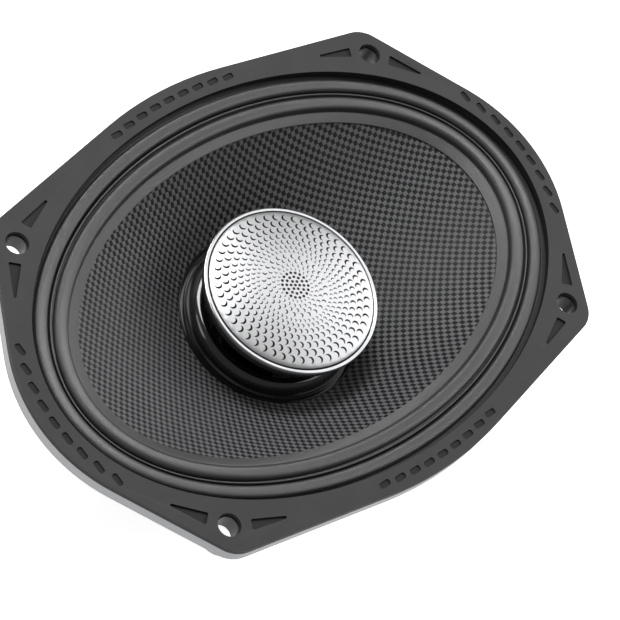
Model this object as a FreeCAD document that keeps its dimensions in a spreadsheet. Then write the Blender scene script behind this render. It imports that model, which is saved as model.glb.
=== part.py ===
import FreeCAD, Part
import math
import os
import Sketcher

# A coaxial oval car speaker of the 6 x 9 inch class, as one parametric document.
#
# Frame: the origin is the centre of the four mounting holes, on the plane where the
# ear bosses meet the panel. +X runs along the oval's long axis, +Y along its short
# axis and +Z out of the front, towards the listener. Lengths are in millimetres.
#
# The document holds a spreadsheet, Sizes, with the driving dimensions. A Size pairs
# the number in a cell with the expression that reads it, so a feature can be drawn
# and bound to the sheet in one call.

Vector = FreeCAD.Vector

DIMENSIONS = {
    # outline that the flange and the front gasket share
    "half_length": 117.4,
    "half_width": 82.15,
    "ear_corner_x": 88.1,
    "ear_corner_y": 67.75,
    "ear_round": 10.7,
    "side_slope_deg": 10.9,
    "end_slope_deg": 29.1,
    # four mounting holes
    "hole_x": 84.0,
    "hole_y": 58.2,
    "hole_radius": 3.8,
    "gasket_hole_radius": 4.1,
    "boss_radius": 7.2,
    # levels of the flange, the gasket and the rear seal, above the panel
    "flange_low": 2.5,
    "flange_top": 6.9,
    "gasket_top": 9.2,
    "gasket_opening_x": 108.6,
    "gasket_opening_y": 73.6,
    "relief_depth": 0.8,
    "relief_round": 0.5,
    "mark_depth": 0.5,
    "mark_length": 4.6,
    "mark_width": 2.2,
    "mark_round": 0.9,
    "mark_pitch": 6.6,
    "mark_row_side": 77.8,
    "mark_row_end": 113.1,
    "seal_inset": 2.5,
    # rubber surround: two rolls on ovals that share one x - y difference
    "oval_difference": 35.2,
    "surround_sheet": 0.5,
    "outer_roll_x": 104.7,
    "outer_roll_radius": 2.5,
    "outer_roll_level": 4.95,
    "inner_roll_x": 97.5,
    "inner_roll_radius": 2.7,
    "inner_roll_level": 4.3,
    "surround_lip_x": 109.6,
    "surround_lip_level": 4.8,
    "lip_fold_x": 107.5,
    "bead_x": 101.2,
    "bead_top": 5.2,
    "bead_low": 4.3,
    "flap_fold_x": 94.9,
    "flap_fold_level": 4.0,
    "seat_x": 110.0,
    "seat_y": 75.0,
    # cone: oval rim, round waist under the dust ring, round neck
    "cone_rim_x": 94.0,
    "cone_rim_y": 58.5,
    "cone_rim_level": 3.35,
    "cone_weave_x": 90.3,
    "cone_weave_y": 56.0,
    "cone_weave_level": 2.05,
    "waist_radius": 32.5,
    "waist_level": -23.8,
    "neck_level": -36.4,
    "cone_wall": 0.8,
    # dust ring in the cone's neck
    "dust_ring_foot": 31.6,
    "dust_ring_mouth": 26.5,
    "dust_ring_top": -18.3,
    "dust_ring_wall": 0.7,
    # voice coil
    "former_inner": 19.4,
    "former_outer": 19.7,
    "former_top": -35.4,
    "coil_outer": 20.4,
    "coil_low": -61.0,
    "coil_top": -49.0,
    # spider
    "spider_inner": 20.0,
    "spider_outer": 55.0,
    "spider_level": -40.0,
    "spider_wave": 1.3,
    "spider_pitch": 5.0,
    "spider_cloth": 0.5,
    # basket
    "wall": 2.2,
    "wall_top_x": 107.5,
    "wall_top_y": 72.5,
    "shoulder_x": 105.0,
    "shoulder_y": 70.0,
    "shoulder_level": -9.0,
    "waist_wall_radius": 60.0,
    "waist_wall_level": -38.0,
    "landing_wall_radius": 57.0,
    "landing_wall_level": -44.0,
    "landing_inner": 48.5,
    "landing_outer": 57.2,
    "landing_thick": 2.0,
    "plate_radius": 49.5,
    "plate_hole": 24.0,
    "plate_low": -52.0,
    "plate_thick": 2.0,
    "window_top": -12.5,
    "window_low": -36.0,
    "window_half_top": 11.0,
    "window_half_low": 8.6,
    "window_corner": 4.0,
    # magnet motor
    "top_plate_radius": 46.0,
    "gap_radius": 20.8,
    "top_plate_low": -58.0,
    "magnet_radius": 50.0,
    "magnet_hole": 24.0,
    "magnet_low": -76.0,
    "yoke_radius": 46.0,
    "yoke_low": -82.0,
    "pole_radius": 19.0,
    "pole_top": -50.5,
    "pole_bore": 5.0,
    "boot_radius": 52.2,
    "boot_low": -84.0,
    "boot_top": -57.0,
    "boot_lip_inner": 40.0,
    "rivet_circle": 38.0,
    "rivet_head_radius": 3.2,
    "rivet_radius": 2.0,
    # tweeter post and its fastening
    "post_radius": 10.0,
    "post_foot_radius": 14.0,
    "post_thread_radius": 4.9,
    "post_bore": 2.6,
    "post_rear": -81.7,
    "nut_flat_radius": 7.0,
    "nut_thick": 2.2,
    "nut_recess_radius": 9.5,
    # tweeter capsule
    "capsule_floor": -12.5,
    "capsule_radius": 31.2,
    "capsule_wall_radius": 30.2,
    "capsule_inner": 28.8,
    "capsule_chamfer_level": -7.6,
    "capsule_top": -3.4,
    "vent_low": -7.1,
    "rim_outer": 32.5,
    "rim_inner": 30.7,
    "rim_top": -2.0,
    "grille_radius": 30.4,
    "grille_crown": 1.2,
    "grille_edge_level": -1.55,
    "grille_sheet": 0.8,
    "dome_radius": 13.0,
    "dome_foot": -3.3,
    "dome_crown": -1.3,
    "driver_cup_radius": 17.0,
    "driver_cup_inner": 13.6,
    "driver_magnet_radius": 12.0,
    "driver_pole_radius": 12.3,
    "driver_coil_inner": 12.65,
    "driver_coil_wall": 0.1,
    "driver_coil_outer": 13.15,
    # terminals and wiring
    "board_half": 17.0,
    "board_y": 70.0,
    "board_thick": 1.6,
    "board_low": -38.0,
    "board_top": -14.0,
    "blade_thick": 0.8,
    "blade_reach": -46.0,
    "blade_x": 10.5,
    "blade_top": -20.0,
    "board_rivet_level": -27.0,
    "board_rivet_radius": 1.2,
    "board_screw_level": -20.0,
    "board_screw_radius": 1.6,
    "positive_width": 6.3,
    "negative_width": 4.8,
    "capacitor_radius": 4.4,
    "capacitor_half": 10.0,
    "capacitor_y": 64.6,
    "capacitor_level": -45.0,
    "cable_radius": 0.9,
    "lead_radius": 0.7,
    "eyelet_radius": 1.9,
    "eyelet_thick": 0.8,
}

WINDOWS = 12
RIVETS = 4
MARKS_EACH_WAY = 4
RELIEF_CORNERS = (
    ((61.2, 67.6), (76.4, 60.4), (78.2, 63.8)),
    ((99.1, 39.7), (91.0, 54.0), (87.6, 51.2)),
)
LEAD_TURNS = (math.radians(75), math.radians(105))
LEAD_SHARE = 0.42
CABLE_TURN_DEG = 102.3

doc = FreeCAD.newDocument("CoaxialCarSpeaker")
sheet = doc.addObject("Spreadsheet::Sheet", "Sizes")
nodes = {}


class Size:
    """A number and the expression that gives it, joined with + - * and /."""

    def __init__(self, number, text):
        self.number = float(number)
        self.text = text

    @staticmethod
    def of(value):
        return value if isinstance(value, Size) else Size(value, "(%r)" % float(value))

    def __add__(self, other):
        other = Size.of(other)
        return Size(self.number + other.number, "(%s + %s)" % (self.text, other.text))

    def __sub__(self, other):
        other = Size.of(other)
        return Size(self.number - other.number, "(%s - %s)" % (self.text, other.text))

    def __mul__(self, other):
        other = Size.of(other)
        return Size(self.number * other.number, "(%s * %s)" % (self.text, other.text))

    def __neg__(self):
        return self * -1

    __radd__ = __add__
    __rmul__ = __mul__


def add_cell(alias, number):
    """Put one plain number in the sheet under an alias."""
    row = add_cell.next_row
    add_cell.next_row = row + 1
    sheet.set("A%d" % row, alias)
    sheet.set("B%d" % row, "%.6f" % number)
    sheet.setAlias("B%d" % row, alias)
    DIMENSIONS[alias] = number


add_cell.next_row = 1


def size(alias):
    """The Size that reads one cell of the sheet."""
    return Size(DIMENSIONS[alias], "Sizes." + alias)


def number(alias):
    return DIMENSIONS[alias]


def tangent_arc(reach, corner_along, corner_across, slope_deg):
    """Arc about an axis of symmetry, tangent to the straight that runs to a corner.

    Returns how far along the arc ends, how high it ends there, and its radius.
    """
    slope = math.radians(slope_deg)
    rise = reach - corner_across - math.tan(slope) * corner_along
    along = rise / (math.tan(slope / 2) - math.tan(slope))
    radius = along / math.sin(slope)
    return along, reach - radius * (1 - math.cos(slope)), radius


def add_outline_cells(name, inset):
    """Cells for the flange's outline moved inwards by an inset."""
    side = math.radians(number("side_slope_deg"))
    end = math.radians(number("end_slope_deg"))
    normal_a = (math.sin(side), math.cos(side))
    normal_b = (math.cos(end), math.sin(end))
    corner = (number("ear_corner_x"), number("ear_corner_y"))
    height_a = normal_a[0] * corner[0] + normal_a[1] * corner[1] - inset
    height_b = normal_b[0] * corner[0] + normal_b[1] * corner[1] - inset
    spread = normal_a[0] * normal_b[1] - normal_a[1] * normal_b[0]
    corner_x = (height_a * normal_b[1] - height_b * normal_a[1]) / spread
    corner_y = (height_b * normal_a[0] - height_a * normal_b[0]) / spread
    top = tangent_arc(number("half_width") - inset, corner_x, corner_y, number("side_slope_deg"))
    tip = tangent_arc(number("half_length") - inset, corner_y, corner_x, number("end_slope_deg"))
    cells = {
        "corner_x": corner_x, "corner_y": corner_y,
        "side_x": top[0], "side_y": top[1], "side_radius": top[2],
        "end_y": tip[0], "end_x": tip[1], "end_radius": tip[2],
    }
    for word, value in cells.items():
        add_cell("%s_%s" % (name, word), value)


# ---------------------------------------------------------------- drawing helpers

def place(item, across=0, along=0, level=0):
    """Bind an object's position to sizes."""
    for axis, value in zip("xyz", (across, along, level)):
        item.setExpression("Placement.Base." + axis, Size.of(value).text)
    return item


def origin_plane(body, role):
    return [item for item in body.Origin.OriginFeatures if item.Role == role][0]


def new_sketch(body, name, role="XY_Plane"):
    sketch = body.newObject("Sketcher::SketchObject", name)
    sketch.AttachmentSupport = (origin_plane(body, role), [""])
    sketch.MapMode = "FlatFace"
    return sketch


def fix(sketch, kind, *where, value):
    """Add a dimension to a sketch and bind it."""
    value = Size.of(value)
    index = sketch.addConstraint(Sketcher.Constraint(kind, *where, value.number))
    sketch.setExpression("Constraints[%d]" % index, value.text)


def arc_between(first, last, radius, side):
    """The minor arc from first to last, bulging to the left (+1) or right (-1)."""
    chord = last - first
    middle = (first + last) * 0.5
    left = Vector(-chord.y, chord.x, 0).normalize()
    height = radius - math.sqrt(radius ** 2 - (chord.Length / 2) ** 2)
    return Part.Arc(first, middle + left * height * side, last)


def draw_loop(sketch, points, arcs=None):
    """Draw a closed loop of lines and arcs and dimension every corner of it.

    points are pairs of sizes. arcs maps the number of an edge, counted from its
    first point, to its radius and the side to which it bulges.
    """
    arcs = arcs or {}
    points = [(Size.of(u), Size.of(v)) for u, v in points]
    count = len(points)
    base = sketch.GeometryCount
    first_ends = []
    for edge in range(count):
        start = Vector(points[edge][0].number, points[edge][1].number, 0)
        nxt = points[(edge + 1) % count]
        stop = Vector(nxt[0].number, nxt[1].number, 0)
        if edge in arcs:
            radius, side = arcs[edge]
            shape = arc_between(start, stop, Size.of(radius).number, side)
        else:
            shape = Part.LineSegment(start, stop)
        index = sketch.addGeometry(shape)
        reversed_arc = (sketch.getPoint(index, 1) - start).Length > (
            sketch.getPoint(index, 2) - start).Length
        first_ends.append(2 if reversed_arc else 1)
    for edge in range(count):
        following = (edge + 1) % count
        sketch.addConstraint(Sketcher.Constraint(
            "Coincident", base + edge, 3 - first_ends[edge],
            base + following, first_ends[following]))
    for edge in range(count):
        fix(sketch, "DistanceX", -1, 1, base + edge, first_ends[edge], value=points[edge][0])
        fix(sketch, "DistanceY", -1, 1, base + edge, first_ends[edge], value=points[edge][1])
    for edge, (radius, side) in arcs.items():
        fix(sketch, "Radius", base + edge, value=radius)


def turned(name, points, arcs=None):
    """A body turned about the speaker's axis from a half section in radius and level."""
    body = doc.addObject("PartDesign::Body", name)
    sketch = new_sketch(body, name + "_section", "XZ_Plane")
    draw_loop(sketch, points, arcs)
    feature = body.newObject("PartDesign::Revolution", name + "_turning")
    feature.Profile = sketch
    feature.ReferenceAxis = (sketch, ["V_Axis"])
    feature.Angle = 360
    return body


def ring(name, inner, outer, low, top):
    """A plain turned ring."""
    return turned(name, [(inner, low), (outer, low), (outer, top), (inner, top)])


def padded(name, points, arcs, low, top):
    """A body padded from one closed loop between two levels."""
    body = doc.addObject("PartDesign::Body", name)
    sketch = new_sketch(body, name + "_outline")
    draw_loop(sketch, points, arcs)
    feature = body.newObject("PartDesign::Pad", name + "_pad")
    feature.Profile = sketch
    feature.setExpression("Length", (Size.of(top) - low).text)
    return place(body, level=low)


def block(name, x_range, y_range, z_range):
    """A box between pairs of sizes."""
    box = doc.addObject("Part::Box", name)
    for word, (low, high) in zip(("Length", "Width", "Height"), (x_range, y_range, z_range)):
        box.setExpression(word, (Size.of(high) - low).text)
    return place(box, x_range[0], y_range[0], z_range[0])


def cylinder(name, radius, low, top, across=0, along=0):
    item = doc.addObject("Part::Cylinder", name)
    item.setExpression("Radius", Size.of(radius).text)
    item.setExpression("Height", (Size.of(top) - low).text)
    return place(item, across, along, low)


def oval_loft(name, sections):
    """A solid with straight sides through ovals given as x, y and level."""
    ovals = []
    for index, (semi_x, semi_y, level) in enumerate(sections):
        oval = doc.addObject("Part::Ellipse", "%s_oval_%d" % (name, index))
        oval.MajorRadius = Size.of(semi_x).number
        oval.MinorRadius = Size.of(semi_y).number
        oval.setExpression("MajorRadius", Size.of(semi_x).text)
        oval.setExpression("MinorRadius", Size.of(semi_y).text)
        ovals.append(place(oval, level=level))
    loft = doc.addObject("Part::Loft", name)
    loft.Sections = ovals
    loft.Solid = True
    loft.Ruled = True
    return loft


def fuse(name, *items):
    joined = doc.addObject("Part::MultiFuse", name)
    joined.Shapes = list(items)
    joined.Refine = True
    return joined


def cut(name, base, *tools):
    difference = doc.addObject("Part::Cut", name)
    difference.Base = base
    difference.Tool = tools[0] if len(tools) == 1 else fuse(name + "_tools", *tools)
    difference.Refine = True
    return difference


def solid_feature(name, shape):
    """An object that holds a shape worked out in code."""
    item = doc.addObject("Part::Feature", name)
    item.Shape = shape
    item.Placement = FreeCAD.Placement()
    return item


def grouped(name, items):
    """Separate like solids as one sub-part."""
    group = doc.addObject("Part::Compound", name)
    group.Links = list(items)
    return group


def rounded_face(corners, radius):
    """A flat face on given corners, each rounded by an arc."""
    edges = []
    count = len(corners)
    tangents = []
    for index, corner in enumerate(corners):
        back = (corners[index - 1] - corner).normalize()
        forth = (corners[(index + 1) % count] - corner).normalize()
        half = back.getAngle(forth) / 2
        reach = radius / math.tan(half)
        bisector = (back + forth).normalize()
        centre = corner + bisector * (radius / math.sin(half))
        tangents.append((corner + back * reach, centre - bisector * radius, corner + forth * reach))
    for index in range(count):
        start, middle, stop = tangents[index]
        edges.append(Part.Arc(start, middle, stop).toShape())
        edges.append(Part.LineSegment(stop, tangents[(index + 1) % count][0]).toShape())
    return Part.Face(Part.Wire(edges))


def tube_along(points, radius, bends=None):
    """A round tube along straight runs joined by tangent arcs.

    bends gives the radius of each arc. Without it each arc takes in nine tenths of
    the shorter half run beside it.
    """
    edges = []
    start = points[0]
    for index, (before, corner, after) in enumerate(zip(points, points[1:], points[2:])):
        back = before - corner
        forth = after - corner
        shorter = min(back.Length, forth.Length)
        back.normalize()
        forth.normalize()
        half = back.getAngle(forth) / 2
        bend = bends[index] if bends else 0.45 * shorter * math.tan(half)
        reach = bend / math.tan(half)
        bisector = (back + forth).normalize()
        middle = corner + bisector * (bend / math.sin(half) - bend)
        edges.append(Part.LineSegment(start, corner + back * reach).toShape())
        edges.append(Part.Arc(corner + back * reach, middle, corner + forth * reach).toShape())
        start = corner + forth * reach
    edges.append(Part.LineSegment(start, points[-1]).toShape())
    path = Part.Wire(edges)
    section = Part.Wire(Part.Circle(points[0], points[1] - points[0], radius).toShape())
    return path.makePipeShell([section], True, False)


def mirrored_quadrants(shape):
    """A shape in the first quadrant and its three mirror images."""
    right = [shape, shape.mirror(Vector(0, 0, 0), Vector(0, 1, 0))]
    left = [item.mirror(Vector(0, 0, 0), Vector(1, 0, 0)) for item in right]
    return right + left


def keep(name, item):
    """Name an object as a sub-part of the speaker."""
    item.Label = name
    nodes[name] = item


# ---------------------------------------------------------------- flange and gasket

def outline_body(name, cells, low, top):
    """The flange's outline, with its ears rounded, between two levels."""
    c_x, c_y = size(cells + "_corner_x"), size(cells + "_corner_y")
    s_x, s_y = size(cells + "_side_x"), size(cells + "_side_y")
    e_x, e_y = size(cells + "_end_x"), size(cells + "_end_y")
    points = [
        (e_x, -e_y), (e_x, e_y), (c_x, c_y), (s_x, s_y), (-s_x, s_y), (-c_x, c_y),
        (-e_x, e_y), (-e_x, -e_y), (-c_x, -c_y), (-s_x, -s_y), (s_x, -s_y), (c_x, -c_y),
    ]
    side, end = size(cells + "_side_radius"), size(cells + "_end_radius")
    arcs = {0: (end, -1), 3: (side, -1), 6: (end, -1), 9: (side, -1)}
    body = padded(name, points, arcs, low, top)
    doc.recompute()
    pad = body.Tip
    ears = []
    for index, edge in enumerate(pad.Shape.Edges):
        first, last = edge.Vertexes[0].Point, edge.Vertexes[-1].Point
        upright = abs(first.z - last.z) > 0.1 and (first - last).Length - abs(first.z - last.z) < 1e-6
        if upright and abs(abs(first.x) - c_x.number) < 0.01:
            ears.append("Edge%d" % (index + 1))
    rounding = body.newObject("PartDesign::Fillet", name + "_ears")
    rounding.Base = (pad, ears)
    rounding.setExpression("Radius", "Sizes.ear_round")
    return body


def four_cylinders(name, radius, low, top):
    """Cylinders at the four mounting holes."""
    items = []
    for index, (sign_x, sign_y) in enumerate(((1, 1), (-1, 1), (-1, -1), (1, -1))):
        items.append(cylinder("%s_%d" % (name, index), radius, low, top,
                              size("hole_x") * sign_x, size("hole_y") * sign_y))
    return items


def front_gasket():
    """Moulded rubber gasket with eight tapered reliefs and plain recessed bars."""
    low, top = size("flange_top"), size("gasket_top")
    body = outline_body("gasket_outline", "flange", low, top)
    opening = oval_loft("gasket_opening", [
        (size("gasket_opening_x"), size("gasket_opening_y"), low - 1),
        (size("gasket_opening_x"), size("gasket_opening_y"), top + 1),
    ])
    holes = four_cylinders("gasket_hole", size("gasket_hole_radius"), low - 1, top + 1)
    floor = number("gasket_top") - number("relief_depth")
    reliefs = []
    for corners in RELIEF_CORNERS:
        face = rounded_face([Vector(x, y, floor) for x, y in corners], number("relief_round"))
        reliefs += mirrored_quadrants(face.extrude(Vector(0, 0, 3)))
    gasket = cut("gasket_cut", body, opening, solid_feature("gasket_reliefs", Part.makeCompound(reliefs)),
                 solid_feature("gasket_marks", Part.makeCompound(gasket_marks())), *holes)
    keep("front_gasket", gasket)


def gasket_marks():
    """Four rows of plain recessed bars, one in the middle of each side."""
    length, width = number("mark_length"), number("mark_width")
    bars = []
    for step in range(-MARKS_EACH_WAY, MARKS_EACH_WAY + 1):
        along = step * number("mark_pitch")
        for sign in (1, -1):
            side = number("mark_row_side") - along ** 2 / (2 * number("flange_side_radius"))
            bars.append(bar_cutter(along, sign * side, length, width))
            end = number("mark_row_end") - along ** 2 / (2 * number("flange_end_radius"))
            bars.append(bar_cutter(sign * end, along, width, length))
    return bars


def bar_cutter(across, along, length, width):
    """A short bar with rounded corners, standing on the floor of the marks."""
    floor = number("gasket_top") - number("mark_depth")
    half_x, half_y = length / 2, width / 2
    corners = [Vector(across + x, along + y, floor)
               for x, y in ((-half_x, -half_y), (half_x, -half_y), (half_x, half_y), (-half_x, half_y))]
    return rounded_face(corners, number("mark_round")).extrude(Vector(0, 0, 3))


def rear_seal():
    """Foam strip between the flange and the panel, cut back round the ear bosses."""
    top = size("flange_low")
    body = outline_body("seal_outline", "seal", 0, top)
    opening = oval_loft("seal_opening", [
        (size("wall_top_x") + 0.6, size("wall_top_y") + 0.6, -1),
        (size("wall_top_x") + 0.6, size("wall_top_y") + 0.6, top + 1),
    ])
    bosses = four_cylinders("seal_boss", size("boss_radius") + 0.6, -1, top + 1)
    keep("rear_seal", cut("seal_cut", body, opening, *bosses))


# ---------------------------------------------------------------- basket

def basket():
    """Cast frame: oval flange, tapering wall with windows, spider landing, motor plate."""
    flange = outline_body("basket_flange", "flange", size("flange_low"), size("flange_top"))
    bosses = four_cylinders("basket_boss", size("boss_radius"), 0, size("flange_low") + 1)
    wall = size("wall")
    outer = [
        (size("wall_top_x"), size("wall_top_y"), size("flange_low") + 1),
        (size("shoulder_x"), size("shoulder_y"), size("shoulder_level")),
        (size("waist_wall_radius"), size("waist_wall_radius"), size("waist_wall_level")),
        (size("landing_wall_radius"), size("landing_wall_radius"), size("landing_wall_level")),
        (size("plate_radius"), size("plate_radius"), size("plate_low")),
    ]
    inner = [(semi_x - wall, semi_y - wall, level) for semi_x, semi_y, level in outer[:-1]]
    inner[0] = (inner[0][0], inner[0][1], size("flange_top") + 1)
    plate_top = size("plate_low") + size("plate_thick")
    inner.append((size("plate_radius") - wall, size("plate_radius") - wall, plate_top))
    seat = oval_loft("surround_seat", [
        (size("seat_x"), size("seat_y"), size("surround_lip_level")),
        (size("seat_x"), size("seat_y"), size("flange_top") + 1),
    ])
    body = fuse("basket_body", flange, oval_loft("basket_outer", outer), terminal_pad(), *bosses)
    tools = [oval_loft("basket_inner", inner), seat,
             cylinder("motor_hole", size("plate_hole"), size("plate_low") - 1, plate_top + 1)]
    tools += four_cylinders("mounting_hole", size("hole_radius"), -1, size("flange_top") + 1)
    tools += rivet_cylinders("plate_rivet_hole", size("rivet_radius"), size("plate_low") - 1, plate_top + 1)
    tools += [solid_feature("windows", Part.makeCompound(basket_windows()))]
    shell = cut("basket_shell", body, *tools)
    landing = ring("spider_landing", size("landing_inner"), size("landing_outer"),
                   size("spider_level") - size("landing_thick"), size("spider_level"))
    keep("basket", fuse("basket_joined", shell, landing))


def terminal_pad():
    """Raised pad on the arm at +Y that carries the terminal board."""
    return block("terminal_pad", (-6, 6), (50, size("board_y")), (-34, -17))


def basket_windows():
    """Cutters for the windows, which leave an arm on each of twelve even stations."""
    top, low = number("window_top"), number("window_low")
    cutters = []
    for index in range(WINDOWS):
        turn = 2 * math.pi * (index + 0.5) / WINDOWS
        upper = oval_point(number("shoulder_x"), number("shoulder_y"), turn, top)
        lower = oval_point(number("waist_wall_radius"), number("waist_wall_radius"), turn, low)
        middle = (upper + lower) * 0.5
        semi_x = (number("shoulder_x") + number("waist_wall_radius")) / 2
        semi_y = (number("shoulder_y") + number("waist_wall_radius")) / 2
        outward = Vector(math.cos(turn) / semi_x, math.sin(turn) / semi_y, 0).normalize()
        sideways = Vector(-outward.y, outward.x, 0)
        corners = []
        for point, half, sign in ((upper, "window_half_top", -1), (upper, "window_half_top", 1),
                                  (lower, "window_half_low", 1), (lower, "window_half_low", -1)):
            shift = (point - middle).dot(sideways) + sign * number(half)
            corners.append(Vector(middle.x, middle.y, point.z) + sideways * shift)
        face = rounded_face(corners, number("window_corner"))
        face.translate(outward * -36)
        cutters.append(face.extrude(outward * 80))
    return cutters


def oval_point(semi_x, semi_y, turn, level):
    return Vector(semi_x * math.cos(turn), semi_y * math.sin(turn), level)


def rivet_cylinders(name, radius, low, top):
    """Cylinders on the circle of the plate's rivets."""
    items = []
    for index in range(RIVETS):
        turn = math.pi / 4 + index * math.pi / 2
        items.append(cylinder("%s_%d" % (name, index), radius, low, top,
                              size("rivet_circle") * math.cos(turn), size("rivet_circle") * math.sin(turn)))
    return items


# ---------------------------------------------------------------- suspension and cone

def oval_ring(name, profile):
    """A closed ring through ovals whose x and y semi-axes differ by a constant."""
    difference = number("oval_difference")
    wires = [Part.Wire(Part.Ellipse(Vector(0, 0, level), semi_x, semi_x - difference).toShape())
             for semi_x, level in profile]
    skin = Part.makeLoft(wires, False, True, True)
    return solid_feature(name, Part.Solid(Part.Shell(skin.Faces)))


def roll(centre, level, radius, start_deg, stop_deg, steps):
    """Points of a roll's arc, from its outer foot to its inner foot."""
    points = []
    for index in range(steps + 1):
        turn = math.radians(start_deg + (stop_deg - start_deg) * index / steps)
        points.append((centre + radius * math.cos(turn), level + radius * math.sin(turn)))
    return points


def surround():
    """Double roll rubber ring from the basket's seat to the rim of the cone."""
    upper = [(number("surround_lip_x"), number("surround_lip_level") + number("surround_sheet"))]
    upper += roll(number("outer_roll_x"), number("outer_roll_level"), number("outer_roll_radius"), 0, 180, 8)
    upper += [(number("bead_x"), number("bead_top"))]
    upper += roll(number("inner_roll_x"), number("inner_roll_level"), number("inner_roll_radius"), 0, 180, 8)
    sheet_thick = number("surround_sheet")
    flap_level = number("cone_weave_level") + 0.3
    upper += [(number("cone_weave_x"), flap_level + 0.4)]
    lower = [(number("cone_weave_x"), flap_level), (number("flap_fold_x"), number("flap_fold_level"))]
    lower += roll(number("inner_roll_x"), number("inner_roll_level"),
                  number("inner_roll_radius") - sheet_thick, 170, 10, 6)
    lower += [(number("bead_x"), number("bead_low"))]
    lower += roll(number("outer_roll_x"), number("outer_roll_level"),
                  number("outer_roll_radius") - sheet_thick, 170, 10, 6)
    lower += [(number("lip_fold_x"), number("surround_lip_level")),
              (number("surround_lip_x"), number("surround_lip_level"))]
    keep("surround", oval_ring("surround_ring", upper + lower))


def cone():
    """Woven cone: an oval rim drawn down to a round neck."""
    wall = size("cone_wall")
    rim = (size("cone_rim_x"), size("cone_rim_y"), size("cone_rim_level"))
    weave = (size("cone_weave_x"), size("cone_weave_y"), size("cone_weave_level"))
    waist = (size("waist_radius"), size("waist_radius"), size("waist_level"))
    neck = (size("former_outer"), size("former_outer"), size("neck_level") + 0.4)
    back = [(semi_x + wall * 0.7, semi_y + wall * 0.7, level - wall * 0.7) for semi_x, semi_y, level in
            (weave, waist, neck)]
    back.insert(0, (rim[0] + wall * 0.7, rim[1] + wall * 0.7, rim[2]))
    front = [(rim[0] + 1.6, rim[1] + 1.6, rim[2] + 0.6), rim, weave, waist, neck,
             (neck[0], neck[1], neck[2] - 2)]
    shell = cut("cone_shell", oval_loft("cone_back", back), oval_loft("cone_front", front))
    keep("cone", shell)


def cone_place(share, turn, depth):
    """A point behind the cone's front face, and the direction away from its back.

    share runs from 0 at the waist to 1 at the edge of the weave, and depth is
    measured along the normal.
    """
    waist = number("waist_radius")
    grow_x, grow_y = number("cone_weave_x") - waist, number("cone_weave_y") - waist
    rise = number("cone_weave_level") - number("waist_level")
    semi_x, semi_y = waist + grow_x * share, waist + grow_y * share
    point = Vector(semi_x * math.cos(turn), semi_y * math.sin(turn), number("waist_level") + rise * share)
    outward = Vector(grow_x * math.cos(turn), grow_y * math.sin(turn), rise)
    around = Vector(-semi_x * math.sin(turn), semi_y * math.cos(turn), 0)
    normal = around.cross(outward).normalize()
    return point + normal * depth, normal


def lead_eyelets():
    """Two eyelets on the back of the cone, where the tinsel leads end."""
    eyelets = []
    for turn in LEAD_TURNS:
        start, normal = cone_place(LEAD_SHARE, turn, number("cone_wall") + 0.06)
        eyelets.append(Part.makeCylinder(number("eyelet_radius"), number("eyelet_thick"), start, normal))
    keep("lead_eyelets", solid_feature("eyelet_discs", Part.makeCompound(eyelets)))


def dust_ring():
    """Glossy ring that closes the cone's neck and leaves room for the tweeter post."""
    foot, mouth = size("dust_ring_foot"), size("dust_ring_mouth")
    top, wall = size("dust_ring_top"), size("dust_ring_wall")
    low = size("waist_level")
    points = [(foot - wall, low), (foot, low), (foot, low + 0.8), (mouth, top), (mouth, top - wall),
              (foot - wall, low + 0.8)]
    arcs = {2: (5.2, -1), 4: (4.6, 1)}
    keep("dust_ring", turned("dust_ring_turned", points, arcs))


def voice_coil():
    """Former tube and the winding at its rear end."""
    keep("coil_former", ring("former_tube", size("former_inner"), size("former_outer"),
                             size("coil_low"), size("former_top")))
    keep("voice_coil", ring("coil_winding", size("former_outer"), size("coil_outer"),
                            size("coil_low"), size("coil_top")))


def spider():
    """Corrugated cloth disc that centres the coil, flat where it meets the basket."""
    level, thick = number("spider_level"), number("spider_cloth")
    wave, pitch = number("spider_wave"), number("spider_pitch")
    start = number("spider_inner") + 2.5
    steps = 24
    stop = start + 5 * pitch
    upper = [(number("spider_inner"), level)]
    for index in range(steps + 1):
        radius = start + (stop - start) * index / steps
        upper.append((radius, level + wave * math.sin(2 * math.pi * (radius - start) / pitch)))
    upper += [(number("spider_outer"), level)]
    lower = [(radius, height + 0.05) for radius, height in reversed(upper)]
    upper = [(radius, height + 0.05 + thick) for radius, height in upper]
    corners = [Vector(radius, 0, height) for radius, height in upper + lower]
    face = Part.Face(Part.makePolygon(corners + corners[:1]))
    keep("spider", solid_feature("spider_cloth_disc", face.revolve(Vector(0, 0, 0), Vector(0, 0, 1), 360)))


# ---------------------------------------------------------------- motor

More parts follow.
